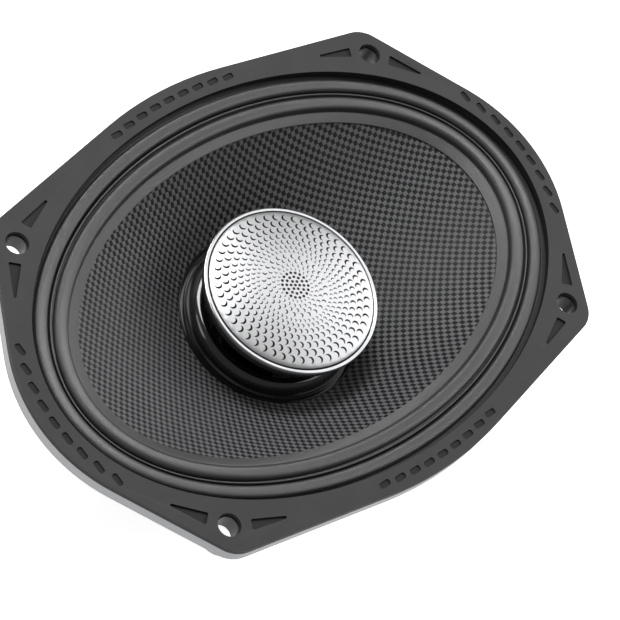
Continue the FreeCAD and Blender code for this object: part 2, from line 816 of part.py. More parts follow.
def motor():
    """Top plate, ferrite ring, yoke with its pole, rivets and the rubber boot."""
    plate_low, plate_top = size("top_plate_low"), size("plate_low")
    plate = ring("top_plate_ring", size("gap_radius"), size("top_plate_radius"), plate_low, plate_top)
    keep("top_plate", cut("top_plate_cut", plate, *rivet_cylinders(
        "top_plate_hole", size("rivet_radius"), plate_top - 4, plate_top + 1)))
    keep("ferrite_magnet", turned("magnet_ring", [
        (size("magnet_hole"), size("magnet_low")),
        (size("magnet_radius") - 1, size("magnet_low")),
        (size("magnet_radius"), size("magnet_low") + 1),
        (size("magnet_radius"), plate_low - 1),
        (size("magnet_radius") - 1, plate_low),
        (size("magnet_hole"), plate_low),
    ]))
    keep("yoke", turned("yoke_turned", [
        (size("pole_bore"), size("yoke_low") + 3),
        (size("nut_recess_radius"), size("yoke_low") + 3),
        (size("nut_recess_radius"), size("yoke_low")),
        (size("yoke_radius") - 1.5, size("yoke_low")),
        (size("yoke_radius"), size("yoke_low") + 1.5),
        (size("yoke_radius"), size("magnet_low")),
        (size("pole_radius"), size("magnet_low")),
        (size("pole_radius"), size("pole_top")),
        (size("pole_bore"), size("pole_top")),
    ]))
    shanks = rivet_cylinders("rivet_shank", size("rivet_radius"), plate_top - 4, plate_top + 3)
    heads = rivet_cylinders("rivet_head", size("rivet_head_radius"), plate_top + 2, plate_top + 3.4)
    keep("plate_rivets", grouped("rivet_group", [
        fuse("rivet_%d" % index, shank, head) for index, (shank, head) in enumerate(zip(shanks, heads))]))
    boot = turned("boot_turned", [
        (size("boot_lip_inner"), size("boot_low")),
        (size("boot_radius") - 1.5, size("boot_low")),
        (size("boot_radius"), size("boot_low") + 1.5),
        (size("boot_radius"), size("boot_top")),
        (size("magnet_radius"), size("boot_top")),
        (size("magnet_radius"), size("magnet_low")),
        (size("yoke_radius"), size("magnet_low")),
        (size("yoke_radius"), size("yoke_low")),
        (size("boot_lip_inner"), size("yoke_low")),
    ])
    cutter = Part.makeBox(22, 3, 15, Vector(38, -1.5, number("boot_low") - 1))
    cutter.rotate(Vector(0, 0, 0), Vector(0, 0, 1), CABLE_TURN_DEG)
    keep("magnet_boot", cut("boot_cut", boot, solid_feature("boot_channel", Part.makeCompound([cutter]))))


# ---------------------------------------------------------------- tweeter

def tweeter_post():
    """Hollow post that stands on the pole, with its washer and nut at the rear."""
    keep("tweeter_post", turned("post_turned", [
        (size("post_bore"), size("post_rear")),
        (size("post_thread_radius"), size("post_rear")),
        (size("post_thread_radius"), size("pole_top")),
        (size("post_foot_radius"), size("pole_top")),
        (size("post_foot_radius"), size("pole_top") + 3),
        (size("post_radius"), size("pole_top") + 6),
        (size("post_radius"), size("capsule_floor") - 4),
        (size("post_foot_radius"), size("capsule_floor") - 1.5),
        (size("post_foot_radius"), size("capsule_floor")),
        (size("post_bore"), size("capsule_floor")),
    ]))
    washer_low = size("yoke_low") + 2.4
    keep("post_washer", ring("washer_ring", size("post_thread_radius"), size("nut_recess_radius") - 0.6,
                             washer_low, size("yoke_low") + 3))
    flat = size("nut_flat_radius")
    across = 1 / math.cos(math.pi / 6)
    corners = [(flat * (across * math.cos(math.pi * k / 3)), flat * (across * math.sin(math.pi * k / 3)))
               for k in range(6)]
    hexagon = padded("nut_hexagon", corners, {}, washer_low - size("nut_thick"), washer_low)
    bore = cylinder("nut_bore", size("post_thread_radius"), washer_low - 4, washer_low + 1)
    keep("post_nut", cut("nut_cut", hexagon, bore))


def tweeter_capsule():
    """Housing, vent ring, bright rim and domed grille of the tweeter."""
    floor, top = size("capsule_floor"), size("capsule_top")
    wall, inner = size("capsule_wall_radius"), size("capsule_inner")
    keep("tweeter_housing", turned("housing_turned", [
        (size("post_bore"), floor),
        (24, floor),
        (size("capsule_radius"), size("capsule_chamfer_level")),
        (size("capsule_radius"), size("vent_low")),
        (wall, size("vent_low")),
        (wall, top),
        (inner, top),
        (inner, size("vent_low")),
        (23, floor + 1.5),
        (size("post_bore"), floor + 1.5),
    ]))
    band = ring("vent_band", wall, size("capsule_radius"), size("vent_low"), top)
    keep("tweeter_vent_ring", cut("vent_ring_cut", band, solid_feature(
        "vent_slots", Part.makeCompound(vent_slots()))))
    keep("tweeter_rim", turned("rim_turned", [
        (size("rim_inner"), top),
        (size("rim_outer"), top),
        (size("rim_outer"), size("rim_top") - 0.5),
        (size("rim_outer") - 0.5, size("rim_top")),
        (size("rim_inner"), size("rim_top")),
    ], {2: (0.5, -1)}))
    edge, sheet_thick = size("grille_radius"), size("grille_sheet")
    crown, level = size("grille_crown"), size("grille_edge_level")
    sagitta = number("grille_crown") - number("grille_edge_level")
    sphere = (number("grille_radius") ** 2 + sagitta ** 2) / (2 * sagitta)
    add_cell("grille_sphere", sphere)
    keep("tweeter_grille", turned("grille_turned", [
        (0, crown - sheet_thick),
        (edge - sheet_thick, level - sheet_thick),
        (edge - sheet_thick, top),
        (edge, top),
        (edge, level),
        (0, crown),
    ], {0: (size("grille_sphere") - 0.4, 1), 4: (size("grille_sphere"), -1)}))


def vent_slots():
    """Upright slots round the vent ring."""
    slots = []
    for index in range(36):
        slot = Part.makeBox(4, 2.4, 2.4, Vector(29, -1.2, number("vent_low") + 0.7))
        slot.rotate(Vector(0, 0, 0), Vector(0, 0, 1), 10 * index)
        slots.append(slot)
    return slots


def tweeter_driver():
    """Dome, coil, magnet and plates inside the capsule."""
    floor = size("capsule_floor") + 1.5
    foot, crown, radius = size("dome_foot"), size("dome_crown"), size("dome_radius")
    plate_top = foot - 1.2
    cup, hollow = size("driver_cup_radius"), size("driver_cup_inner")
    keep("tweeter_yoke", turned("tweeter_cup", [
        (size("post_bore"), floor), (cup, floor), (cup, plate_top), (hollow, plate_top),
        (hollow, floor + 1.5), (size("post_bore"), floor + 1.5),
    ]))
    keep("tweeter_magnet", ring("tweeter_disc", size("post_bore"), size("driver_magnet_radius"),
                                floor + 1.5, plate_top - 2))
    keep("tweeter_pole_plate", cylinder("tweeter_pole", size("driver_pole_radius"), plate_top - 2, plate_top))
    keep("tweeter_felt_pad", cylinder("felt_disc", 9, plate_top, plate_top + 0.6))
    keep("tweeter_face_ring", ring("face_ring", 16.6, size("capsule_inner"), plate_top, foot - 0.3))
    half_roll = [(13.3, foot), (14.2, foot), (16.0, foot), (17.2, foot), (17.2, foot + 0.25),
                 (16.0, foot + 0.25), (14.2, foot + 0.25), (13.3, foot + 0.25)]
    keep("tweeter_suspension", turned("tweeter_roll", half_roll, {1: (1.0, 1), 5: (1.2, -1)}))
    rise = number("dome_crown") - number("dome_foot")
    add_cell("dome_sphere", (number("dome_radius") ** 2 + rise ** 2) / (2 * rise))
    keep("tweeter_dome", turned("dome_turned", [
        (0, crown - 0.3), (radius - 0.9, foot), (radius, foot), (0, crown)],
        {0: (size("dome_sphere"), 1), 2: (size("dome_sphere"), -1)}))
    inner = size("driver_coil_inner")
    wound = inner + size("driver_coil_wall")
    keep("tweeter_coil_former", ring("tweeter_tube", inner, wound, foot - 2.9, foot))
    keep("tweeter_coil", ring("tweeter_winding", wound, size("driver_coil_outer"), foot - 3.1, foot - 1.0))


# ---------------------------------------------------------------- terminals and wiring

def terminals():
    """Board on the arm at +Y with a wide positive and a narrow negative blade."""
    near, far = size("board_y"), size("board_y") + size("board_thick")
    half, low, top = size("board_half"), size("board_low"), size("board_top")
    board = block("board_blank", (-half, half), (near, far), (low, top))
    rivet_level, rivet = size("board_rivet_level"), size("board_rivet_radius")
    screw_level, screw = size("board_screw_level"), size("board_screw_radius")
    blades = (("positive_blade", -1, "positive_width"), ("negative_blade", 1, "negative_width"))
    rivets = []
    holes = []
    for name, side, width in blades:
        centre = size("blade_x") * side
        wide = size(width) * 0.5
        strip = block(name + "_strip", (centre - wide, centre + wide), (far, far + size("blade_thick")),
                      (size("blade_reach"), size("blade_top")))
        tongue_hole = side_pin(name + "_tip_hole", 0.8, centre, far - 1, far + 3, size("blade_reach") + 2.2)
        rivet_hole = side_pin(name + "_rivet_hole", rivet, centre, far - 1, far + 3, rivet_level)
        keep(name, cut(name + "_cut", strip, tongue_hole, rivet_hole))
        holes.append(side_pin(name + "_board_hole", rivet, centre, near - 1, far + 1, rivet_level))
        shank = side_pin(name + "_shank", rivet, centre, near - 0.6, far + 1.4, rivet_level)
        front = side_pin(name + "_front", 2.0, centre, far + size("blade_thick"), far + 1.5, rivet_level)
        rear = side_pin(name + "_rear", 2.0, centre, near - 0.7, near, rivet_level)
        rivets.append(fuse(name + "_rivet", shank, front, rear))
    holes.append(side_pin("board_screw_hole", screw, 0, near - 1, far + 1, screw_level))
    keep("terminal_board", cut("board_cut", board, *holes))
    keep("terminal_rivets", grouped("terminal_rivet_group", rivets))
    shank = side_pin("board_screw_shank", screw, 0, near, far + 1, screw_level)
    head = side_pin("board_screw_head", screw + 1.3, 0, far, far + 1.4, screw_level)
    keep("board_screw", fuse("board_screw_joined", shank, head))


def side_pin(name, radius, across, near, far, level):
    """A cylinder along +Y between two distances."""
    pin = cylinder(name, radius, near, far)
    pin.Placement.Rotation = FreeCAD.Rotation(Vector(1, 0, 0), -90)
    return place(pin, across, near, level)


def long_pin(name, radius, near, far, along, level):
    """A cylinder along +X between two distances."""
    pin = cylinder(name, radius, near, far)
    pin.Placement.Rotation = FreeCAD.Rotation(Vector(0, 1, 0), 90)
    return place(pin, near, along, level)


def capacitor():
    """Film capacitor that feeds the tweeter, held under the board by a clip."""
    radius, half = size("capacitor_radius"), size("capacitor_half")
    along, level = size("capacitor_y"), size("capacitor_level")
    keep("crossover_capacitor", long_pin("capacitor_can", radius, -half, half, along, level))
    band = long_pin("clip_band", radius + 0.8, -2.5, 2.5, along, level)
    leg = block("clip_leg", (-2.5, 2.5), (size("board_y") - 0.8, size("board_y")), (level, -35))
    hollow = long_pin("clip_hollow", radius, -4, 4, along, level)
    mouth = block("clip_mouth", (-4, 4), (along - 8, along), (level - 8, level - 2.5))
    keep("capacitor_clip", cut("clip_cut", fuse("clip_joined", band, leg), hollow, mouth))


def wiring():
    """Cable from the board to the tweeter through the pole, and the cone's two leads."""
    turn = math.radians(CABLE_TURN_DEG)
    route = [(68.2, -31), (68.2, -46), (54.2, -60), (54.2, -83.0), (0, -83.0), (0, -12.2)]
    points = [Vector(radius * math.cos(turn), radius * math.sin(turn), level) for radius, level in route]
    bends = [8, 8, 6.5, 3]
    keep("tweeter_cable", solid_feature("cable_tube", tube_along(points, number("cable_radius"), bends)))
    leads = []
    reach = number("cone_wall") + number("eyelet_thick") + 0.4
    for side, turn in zip((1, -1), LEAD_TURNS):
        path = [(15.0, 69.2, -22.0), (16.3, 65.0, -25.0), (17.3, 58.5, -28.5), (17.3, 51.5, -27.5)]
        points = [Vector(side * x, y, z) for x, y, z in path]
        points += [cone_place(LEAD_SHARE, turn, reach + 5.5)[0], cone_place(LEAD_SHARE, turn, reach)[0]]
        leads.append(tube_along(points, number("lead_radius")))
    keep("tinsel_leads", solid_feature("lead_tubes", Part.makeCompound(leads)))


# ---------------------------------------------------------------- build, check, write

def check_document():
    """Stop if any object failed or any sub-part is not a valid solid."""
    for item in doc.Objects:
        bad = [state for state in item.State if state in ("Invalid", "Error")]
        if bad:
            raise RuntimeError("%s is %s" % (item.Name, bad))
    for name, item in nodes.items():
        if item.Shape.isNull() or not item.Shape.isValid() or item.Shape.Volume <= 0:
            raise RuntimeError("%s has no valid shape" % name)
    print("%d sub-parts are valid" % len(nodes))


def write_parts():
    os.makedirs("parts", exist_ok=True)
    for name, item in nodes.items():
        item.Shape.exportStep("parts/%s.step" % name)


for alias, value in list(DIMENSIONS.items()):
    add_cell(alias, value)
add_outline_cells("flange", 0)
add_outline_cells("seal", number("seal_inset"))
doc.recompute()
front_gasket()
rear_seal()
basket()
surround()
cone()
lead_eyelets()
dust_ring()
voice_coil()
spider()
motor()
tweeter_post()
tweeter_capsule()
tweeter_driver()
terminals()
capacitor()
wiring()
doc.recompute()
check_document()
write_parts()
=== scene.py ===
import math

import bmesh
import bpy
import numpy as np
from bpy.props import FloatProperty, FloatVectorProperty, IntProperty, PointerProperty
from bpy.types import Operator, Panel, PropertyGroup
from mathutils import Matrix, Vector
from mathutils.geometry import delaunay_2d_cdt


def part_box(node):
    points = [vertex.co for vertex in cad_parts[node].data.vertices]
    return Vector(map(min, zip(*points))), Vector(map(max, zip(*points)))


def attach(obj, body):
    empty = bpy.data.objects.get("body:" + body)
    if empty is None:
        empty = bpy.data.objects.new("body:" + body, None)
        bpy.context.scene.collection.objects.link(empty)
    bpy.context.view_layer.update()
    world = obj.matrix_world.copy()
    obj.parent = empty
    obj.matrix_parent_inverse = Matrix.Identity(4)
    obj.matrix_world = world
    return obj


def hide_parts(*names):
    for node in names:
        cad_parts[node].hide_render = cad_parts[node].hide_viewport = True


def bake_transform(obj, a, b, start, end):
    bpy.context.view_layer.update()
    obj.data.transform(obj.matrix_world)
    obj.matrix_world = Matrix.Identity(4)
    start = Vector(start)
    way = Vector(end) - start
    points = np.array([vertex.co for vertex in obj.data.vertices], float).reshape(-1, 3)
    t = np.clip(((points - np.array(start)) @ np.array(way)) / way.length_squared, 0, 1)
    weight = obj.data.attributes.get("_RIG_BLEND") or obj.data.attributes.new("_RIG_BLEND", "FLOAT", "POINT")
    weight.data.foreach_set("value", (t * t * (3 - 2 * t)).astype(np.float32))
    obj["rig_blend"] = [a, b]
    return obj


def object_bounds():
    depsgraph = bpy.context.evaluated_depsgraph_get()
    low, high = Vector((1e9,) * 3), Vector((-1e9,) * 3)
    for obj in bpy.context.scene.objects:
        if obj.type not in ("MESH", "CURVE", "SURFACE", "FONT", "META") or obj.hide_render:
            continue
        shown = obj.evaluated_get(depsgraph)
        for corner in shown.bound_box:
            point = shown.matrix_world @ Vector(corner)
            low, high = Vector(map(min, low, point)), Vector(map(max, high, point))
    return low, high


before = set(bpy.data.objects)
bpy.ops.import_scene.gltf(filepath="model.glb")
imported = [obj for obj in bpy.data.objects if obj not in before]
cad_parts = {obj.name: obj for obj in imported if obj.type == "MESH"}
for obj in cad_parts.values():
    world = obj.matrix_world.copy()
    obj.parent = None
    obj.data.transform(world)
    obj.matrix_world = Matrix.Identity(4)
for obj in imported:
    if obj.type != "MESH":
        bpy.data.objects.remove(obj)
CAD_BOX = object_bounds()

bl_info = {
    "name": "Coaxial car speaker looks",
    "version": (1, 0, 0),
    "blender": (4, 5, 0),
    "location": "View3D > Sidebar > Speaker",
    "description": "Builds the visible surfaces, finishes and studio of an oval coaxial car speaker",
    "category": "Object",
}

# Lengths are metres in the speaker's own frame: +X along the oval, +Y across it, +Z out of
# the front. The basket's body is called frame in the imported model.
MM = 0.001
FRAME_BODY = "frame"
CONE_BODY = "cone"
DOME_BODY = "tweeter_diaphragm"

# Bolt holes of the flange, from its centre, and the sides of every cable and lead.
HOLE_ALONG, HOLE_ACROSS = 84.0 * MM, 58.2 * MM
TUBE_SIDES = 14


def length(text, value_mm, note):
    """A length property whose default is given in millimetres."""
    return FloatProperty(name=text, description=note, default=value_mm * MM, unit="LENGTH", precision=5)


def tint(text, colour, note):
    """A colour property."""
    return FloatVectorProperty(name=text, description=note, subtype="COLOR", size=3, min=0, max=1,
                               default=colour)


# ------------------------------------------------------------------ properties

class SpeakerSurroundSizes(PropertyGroup):
    """The rubber surround: two rolls on ovals that share one x - y difference."""
    oval_difference: length("Oval difference", 35.2, "Half length less half width of every roll")
    lip_x: length("Lip", 109.6, "Half length of the outer edge that is glued to the basket")
    lip_level: length("Lip level", 4.8, "Height of the glued lip")
    outer_x: length("Outer roll", 104.7, "Half length of the outer roll's centre line")
    outer_radius: length("Outer roll radius", 2.5, "Radius of the outer roll")
    outer_level: length("Outer roll level", 4.95, "Height of the outer roll's centre")
    outer_height: length("Outer roll height", 2.3, "Height of the outer roll over its centre's level")
    inner_x: length("Inner roll", 97.5, "Half length of the inner roll's centre line")
    inner_radius: length("Inner roll radius", 2.7, "Radius of the inner roll")
    inner_level: length("Inner roll level", 4.25, "Height of the inner roll's centre")
    inner_height: length("Inner roll height", 2.62, "Height of the inner roll over its centre's level")
    bead_x: length("Bead", 101.2, "Half length of the small bead between the rolls")
    bead_level: length("Bead level", 6.0, "Height of the bead's top")
    flap_x: length("Flap edge", 90.3, "Half length of the flap's edge on the cone")
    flap_y: length("Flap edge across", 56.0, "Half width of the flap's edge on the cone")
    flap_level: length("Flap level", 2.8, "Height of the flap's edge")
    sheet: length("Rubber thickness", 0.5, "Thickness of the rubber")
    rib_pitch: length("Rib pitch", 0.8, "Distance between the fine ribs that cross the rolls")


class SpeakerConeSizes(PropertyGroup):
    """The woven cone and the glossy ring in its neck."""
    rim_x: length("Rim", 94.0, "Half length of the cone's edge, under the flap")
    rim_y: length("Rim across", 58.5, "Half width of the cone's edge")
    rim_level: length("Rim level", 3.5, "Height of the cone's edge")
    weave_x: length("Weave edge", 90.3, "Half length of the weave that shows")
    weave_y: length("Weave edge across", 56.0, "Half width of the weave that shows")
    weave_level: length("Weave level", 2.25, "Height of the weave's edge")
    waist_radius: length("Waist", 32.5, "Radius of the cone under the dust ring")
    waist_level: length("Waist level", -23.8, "Height of the cone under the dust ring")
    neck_radius: length("Neck", 19.75, "Radius of the cone's neck")
    neck_level: length("Neck level", -36.2, "Height of the cone's neck")
    wall: length("Wall", 0.75, "Thickness of the cone")
    tow: length("Tow width", 1.524, "Width of one tow of the plain weave")


class SpeakerGrilleSizes(PropertyGroup):
    """The tweeter's domed grille."""
    radius: length("Radius", 30.6, "Radius of the grille")
    crown: length("Crown", 1.2, "Height of the grille's middle")
    edge_level: length("Edge level", -1.55, "Height of the grille's edge")
    sheet: length("Sheet", 0.16, "Thickness of the grille's sheet")
    hole_radius: length("Hole", 0.56, "Radius of the round holes in the middle")
    hole_step: length("Hole step", 1.625, "Distance between the rings of round holes")
    turn: FloatProperty(name="Crescent turn", description="How far each crescent's hollow side is turned from "
                        "straight outwards", default=math.radians(-75), unit="ROTATION")
    facets: IntProperty(name="Arc points", description="Points on each crescent's outer arc", default=9, min=5)


class SpeakerFinish(PropertyGroup):
    """Colours of the speaker's finishes."""
    gasket: tint("Gasket", (0.045, 0.045, 0.0465), "Moulded rubber of the front gasket")
    surround: tint("Surround", (0.03, 0.03, 0.0312), "Rubber of the rolls")
    # Lit and shaded copies of one tow colour: painted highlight on the tows along X, painted shade on the crossing
    # ones.
    lit_tow: tint("Light tow", (0.125, 0.126, 0.13), "Tows that catch the light")
    shaded_tow: tint("Dark tow", (0.008, 0.008, 0.009), "Tows that cross them")
    gloss: tint("Gloss black", (0.006, 0.006, 0.007), "Dust ring")
    grille: tint("Grille", (0.55, 0.554, 0.562), "Satin metal of the grille")
    basket: tint("Basket", (0.26, 0.263, 0.27), "Powder coat of the basket")
    floor: tint("Floor", (0.93, 0.93, 0.93), "Plain pale floor")


class SpeakerStage(PropertyGroup):
    """Where the camera stands and how bright the studio is."""
    azimuth: FloatProperty(name="Azimuth", description="Direction of the camera round +Z, from +X",
                           default=math.radians(-164.5), unit="ROTATION")
    elevation: FloatProperty(name="Elevation", description="Height of the camera over the flange's plane",
                             default=math.radians(53.57), unit="ROTATION")
    roll: FloatProperty(name="Roll", description="Turn of the camera about its own axis",
                        default=math.radians(39.745), unit="ROTATION")
    distance: length("Distance", 892.47, "From the camera to the point it looks at")
    target: FloatVectorProperty(name="Target", description="The point the camera looks at", size=3,
                                subtype="TRANSLATION", default=(-7.26 * MM, -11.74 * MM, 9.2 * MM))
    lens: FloatProperty(name="Lens", description="Focal length on a 36 mm wide sensor, in millimetres",
                        default=152.19)
    world: FloatProperty(name="Surroundings", description="Brightness of the white room", default=0.24)
    glow: FloatProperty(name="Floor glow", description="Light that the pale floor gives off by itself",
                        default=0.75)


# ------------------------------------------------------------------ mesh helpers

def quads(rows, columns, wrap_rows, wrap_columns):
    """Corner numbers of a grid's quads, and the row and column that each corner stands for."""
    row = np.arange(rows if wrap_rows else rows - 1)
    column = np.arange(columns if wrap_columns else columns - 1)
    row, column = (part.ravel() for part in np.meshgrid(row, column, indexing="ij"))
    corner_rows = np.stack([row, row, row + 1, row + 1], axis=1)
    corner_columns = np.stack([column, column + 1, column + 1, column], axis=1)
    return (corner_rows % rows) * columns + corner_columns % columns, corner_rows, corner_columns


def enclosed_volume(points, faces):
    """Signed volume inside a closed mesh: the sum over triangles of a . (b x c) / 6."""
    corners = [points[faces[:, index]] for index in range(faces.shape[1])]
    total = 0.0
    for second, third in zip(corners[1:], corners[2:]):
        total += np.einsum("ij,ij->i", corners[0], np.cross(second, third)).sum() / 6
    return total


def mesh_object(name, points, faces, uv=None, crease_deg=35):
    """A mesh piece whose faces point outwards. uv holds one pair for each corner of each face."""
    faces = np.asarray(faces)
    if enclosed_volume(points, faces) < 0:
        faces = faces[:, ::-1]
        uv = None if uv is None else uv[:, ::-1]
    mesh = bpy.data.meshes.new(name)
    mesh.from_pydata(np.asarray(points, float).tolist(), [], faces.tolist())
    if uv is not None:
        layer = mesh.uv_layers.new(name="UVMap")
        layer.data.foreach_set("uv", np.asarray(uv, np.float32).ravel())
    mesh.polygons.foreach_set("use_smooth", np.ones(len(mesh.polygons), bool))
    mesh.set_sharp_from_angle(angle=math.radians(crease_deg))
    mesh.update()
    piece = bpy.data.objects.new(name, mesh)
    bpy.context.scene.collection.objects.link(piece)
    return piece


def travelled(points, closed=False):
    """Distance run along a list of points, for use as a texture coordinate."""
    ends = np.vstack([points, points[:1]]) if closed else points
    steps = np.linalg.norm(np.diff(ends, axis=0), axis=1)
    return np.concatenate([[0.0], np.cumsum(steps)])


def oval_shell(name, profile, turns=512):
    """A closed ring: each profile point (a, b, z) is carried round as (a cos t, b sin t, z)."""
    profile = np.asarray(profile, float)
    turn = np.linspace(0, 2 * np.pi, turns, endpoint=False)
    points = np.stack([np.outer(np.cos(turn), profile[:, 0]), np.outer(np.sin(turn), profile[:, 1]),
                       np.broadcast_to(profile[:, 2], (turns, len(profile)))], axis=2)
    faces, rows, columns = quads(turns, len(profile), True, True)
    middle = profile.mean(axis=0)
    round_way = travelled(np.stack([middle[0] * np.cos(turn), middle[1] * np.sin(turn)], axis=1), True)
    across = travelled(profile, True)
    uv = np.stack([round_way[rows], across[columns]], axis=2)
    return mesh_object(name, points.reshape(-1, 3), faces, uv)


def turned_shell(name, profile, turns=192):
    """A closed ring turned about the axis from (radius, level) points."""
    return oval_shell(name, [(radius, radius, level) for radius, level in profile], turns)


def arc(centre, radius, start_deg, stop_deg, count):
    """Points centre + radius (cos t, sin t) for t from start to stop."""
    turn = np.radians(np.linspace(start_deg, stop_deg, count))
    return list(zip(centre[0] + radius * np.cos(turn), centre[1] + radius * np.sin(turn)))


def offset_profile(points, distance):
    """An open profile moved sideways by a distance, to the right of its direction."""
    points = np.asarray(points, float)
    ahead = np.gradient(points, axis=0)
    ahead /= np.linalg.norm(ahead, axis=1)[:, None]
    return points + distance * np.stack([ahead[:, 1], -ahead[:, 0]], axis=1)


def softened_copy(node, name, width_mm, segments=2, limit_deg=40):
    """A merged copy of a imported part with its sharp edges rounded."""
    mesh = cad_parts[node].data.copy()
    work = bmesh.new()
    work.from_mesh(mesh)
    bmesh.ops.remove_doubles(work, verts=work.verts, dist=1e-6)
    bmesh.ops.dissolve_limit(work, angle_limit=math.radians(0.5), verts=work.verts, edges=work.edges)
    work.to_mesh(mesh)
    work.free()
    piece = bpy.data.objects.new(name, mesh)
    bpy.context.scene.collection.objects.link(piece)
    mesh.polygons.foreach_set("use_smooth", np.ones(len(mesh.polygons), bool))
    mesh.set_sharp_from_angle(angle=math.radians(limit_deg))
    bevel = piece.modifiers.new("edges", "BEVEL")
    bevel.width = width_mm * MM
    bevel.segments = segments
    bevel.limit_method = "ANGLE"
    bevel.angle_limit = math.radians(limit_deg)
    bevel.harden_normals = True
    return piece


def smooth_step(value):
    """3 v v - 2 v v v, with v held between 0 and 1."""
    value = np.clip(value, 0, 1)
    return value * value * (3 - 2 * value)


def stretch_between(piece, weight, moving=CONE_BODY):
    """Let a piece join the frame, where the weight is 0, to a moving body, where it is 1."""
    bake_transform(piece, FRAME_BODY, moving, start=(0, 0, 0), end=(0, 0, 1))
    piece.data.attributes["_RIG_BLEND"].data.foreach_set("value", weight.astype(np.float32))


def places(piece):
    """A piece's vertices as an array."""
    flat = np.zeros(len(piece.data.vertices) * 3, np.float32)
    piece.data.vertices.foreach_get("co", flat)
    return flat.reshape(-1, 3).astype(float)


def finished(piece, material, body, slot, *nodes):
    """Give a piece its material, its body and the nodes it stands for. The slot argument is not used."""
    piece.data.materials.clear()
    piece.data.materials.append(material)
    if "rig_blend" not in piece:
        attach(piece, body)
    if nodes:
        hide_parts(*nodes)
    return piece


# ------------------------------------------------------------------ shader helpers

class Value:
    """A shader socket that Python arithmetic extends with Math nodes."""

    def __init__(self, board, socket):
        self.board = board
        self.socket = socket

    def math(self, operation, *others):
        """One Math node on this value and the others."""
        return self.board.node("ShaderNodeMath", {"operation": operation}, [self, *others])

    def __add__(self, other):
        return self.math("ADD", other)

    def __sub__(self, other):
        return self.math("SUBTRACT", other)

    def __mul__(self, other):
        return self.math("MULTIPLY", other)

    def __truediv__(self, other):
        return self.math("DIVIDE", other)

    def __rsub__(self, other):
        return self.board.node("ShaderNodeMath", {"operation": "SUBTRACT"}, [other, self])

    __radd__ = __add__
    __rmul__ = __mul__


class Board:
    """A material's node tree round one Principled shader."""

    def __init__(self, name, roughness=0.5, metallic=0.0, **constants):
        self.material = bpy.data.materials.new(name)
        self.material.use_nodes = True
        self.tree = self.material.node_tree
        self.shader = self.tree.nodes["Principled BSDF"]
        self.set("Roughness", roughness)
        self.set("Metallic", metallic)
        for word, value in constants.items():
            self.set(word.replace("_", " ").title().replace("Ior", "IOR"), value)

    def set(self, word, value):
        """Give one of the shader's sockets a constant or a link."""
        self.feed(self.shader.inputs[word], value)

    def feed(self, socket, value):
        """Link a value to a socket, or write a constant into it."""
        if isinstance(value, Value):
            self.tree.links.new(value.socket, socket)
        elif hasattr(value, "__len__") and socket.type == "RGBA" and len(value) == 3:
            socket.default_value = (*value, 1.0)
        else:
            socket.default_value = value

    def node(self, kind, settings=None, values=(), out=0, **named):
        """A node of any kind: its settings first, then its sockets by order or by name."""
        made = self.tree.nodes.new(kind)
        for word, value in (settings or {}).items():
            setattr(made, word, value)
        for socket, value in zip(made.inputs, values):
            if value is not None:
                self.feed(socket, value)
        for word, value in named.items():
            self.feed(made.inputs[word.replace("_", " ")], value)
        return Value(self, made.outputs[out])

    def place(self):
        """The three Object coordinates of the surface."""
        coordinates = self.node("ShaderNodeTexCoord", out=3)
        split = self.node("ShaderNodeSeparateXYZ", None, [coordinates])
        outputs = split.socket.node.outputs
        return coordinates, [Value(self, output) for output in outputs]

    def uv(self):
        """The two coordinates of the piece's own map."""
        split = self.node("ShaderNodeSeparateXYZ", None, [self.node("ShaderNodeTexCoord", out=2)])
        return [Value(self, output) for output in list(split.socket.node.outputs)[:2]]

    def noise(self, where, scale, detail=3.0, roughness=0.55):
        """Soft random values over the surface."""
        return self.node("ShaderNodeTexNoise", None, Vector=where, Scale=scale, Detail=detail,
                         Roughness=roughness)

    def mix(self, share, first, second):
        """Blend two colours, whose sockets follow the float and vector ones."""
        return self.node("ShaderNodeMix", {"data_type": "RGBA"},
                         [share, None, None, None, None, None, first, second], out=2)

    def shade(self, colour, amount):
        """A colour made lighter or darker by a varying amount."""
        return self.node("ShaderNodeVectorMath", {"operation": "SCALE"}, [colour], Scale=amount)

    def spread(self, value, low, high, to_low=0.0, to_high=1.0):
        """Stretch a value from one range to another, clamped."""
        return self.node("ShaderNodeMapRange", None, [value, low, high, to_low, to_high])

    def relief(self, height, strength=0.3, distance_mm=0.05):
        """Feed a height to the shader's normal."""
        self.set("Normal", self.node("ShaderNodeBump", None, Height=height, Strength=strength,
                                     Distance=distance_mm * MM))


def mottled(board, colour, where, scale, amount):
    """A colour with soft uneven patches."""
    dark = tuple(part * (1 - amount) for part in colour)
    light = tuple(min(1.0, part * (1 + amount)) for part in colour)
    board.set("Base Color", board.mix(board.spread(board.noise(where, scale), 0.35, 0.65), dark, light))


def gasket_rubber(finish):
    """Matte moulded rubber, with painted shade darkening its recesses."""
    board = Board("gasket_rubber", roughness=0.66, specular_ior_level=0.32)
    where, (_, _, level) = board.place()
    top = CAD_BOX[1].z
    patches = board.spread(board.noise(where, 60), 0.35, 0.65, 0.92, 1.06)
    # Painted shade: the colour falls to 0.3 of itself in the recesses below the gasket's top, where shade falls.
    relief = board.spread(level, top - 0.4 * MM, top - 0.15 * MM)
    board.set("Base Color", board.shade(tuple(finish.gasket), patches * (0.3 + relief * 0.7)))
    grain = board.noise(where, 2600, 2.0)
    board.set("Roughness", board.spread(grain, 0.3, 0.7, 0.6, 0.74))
    board.relief(grain + board.noise(where, 700, 3.0) * 0.6, 0.22, 0.05)
    return board.material


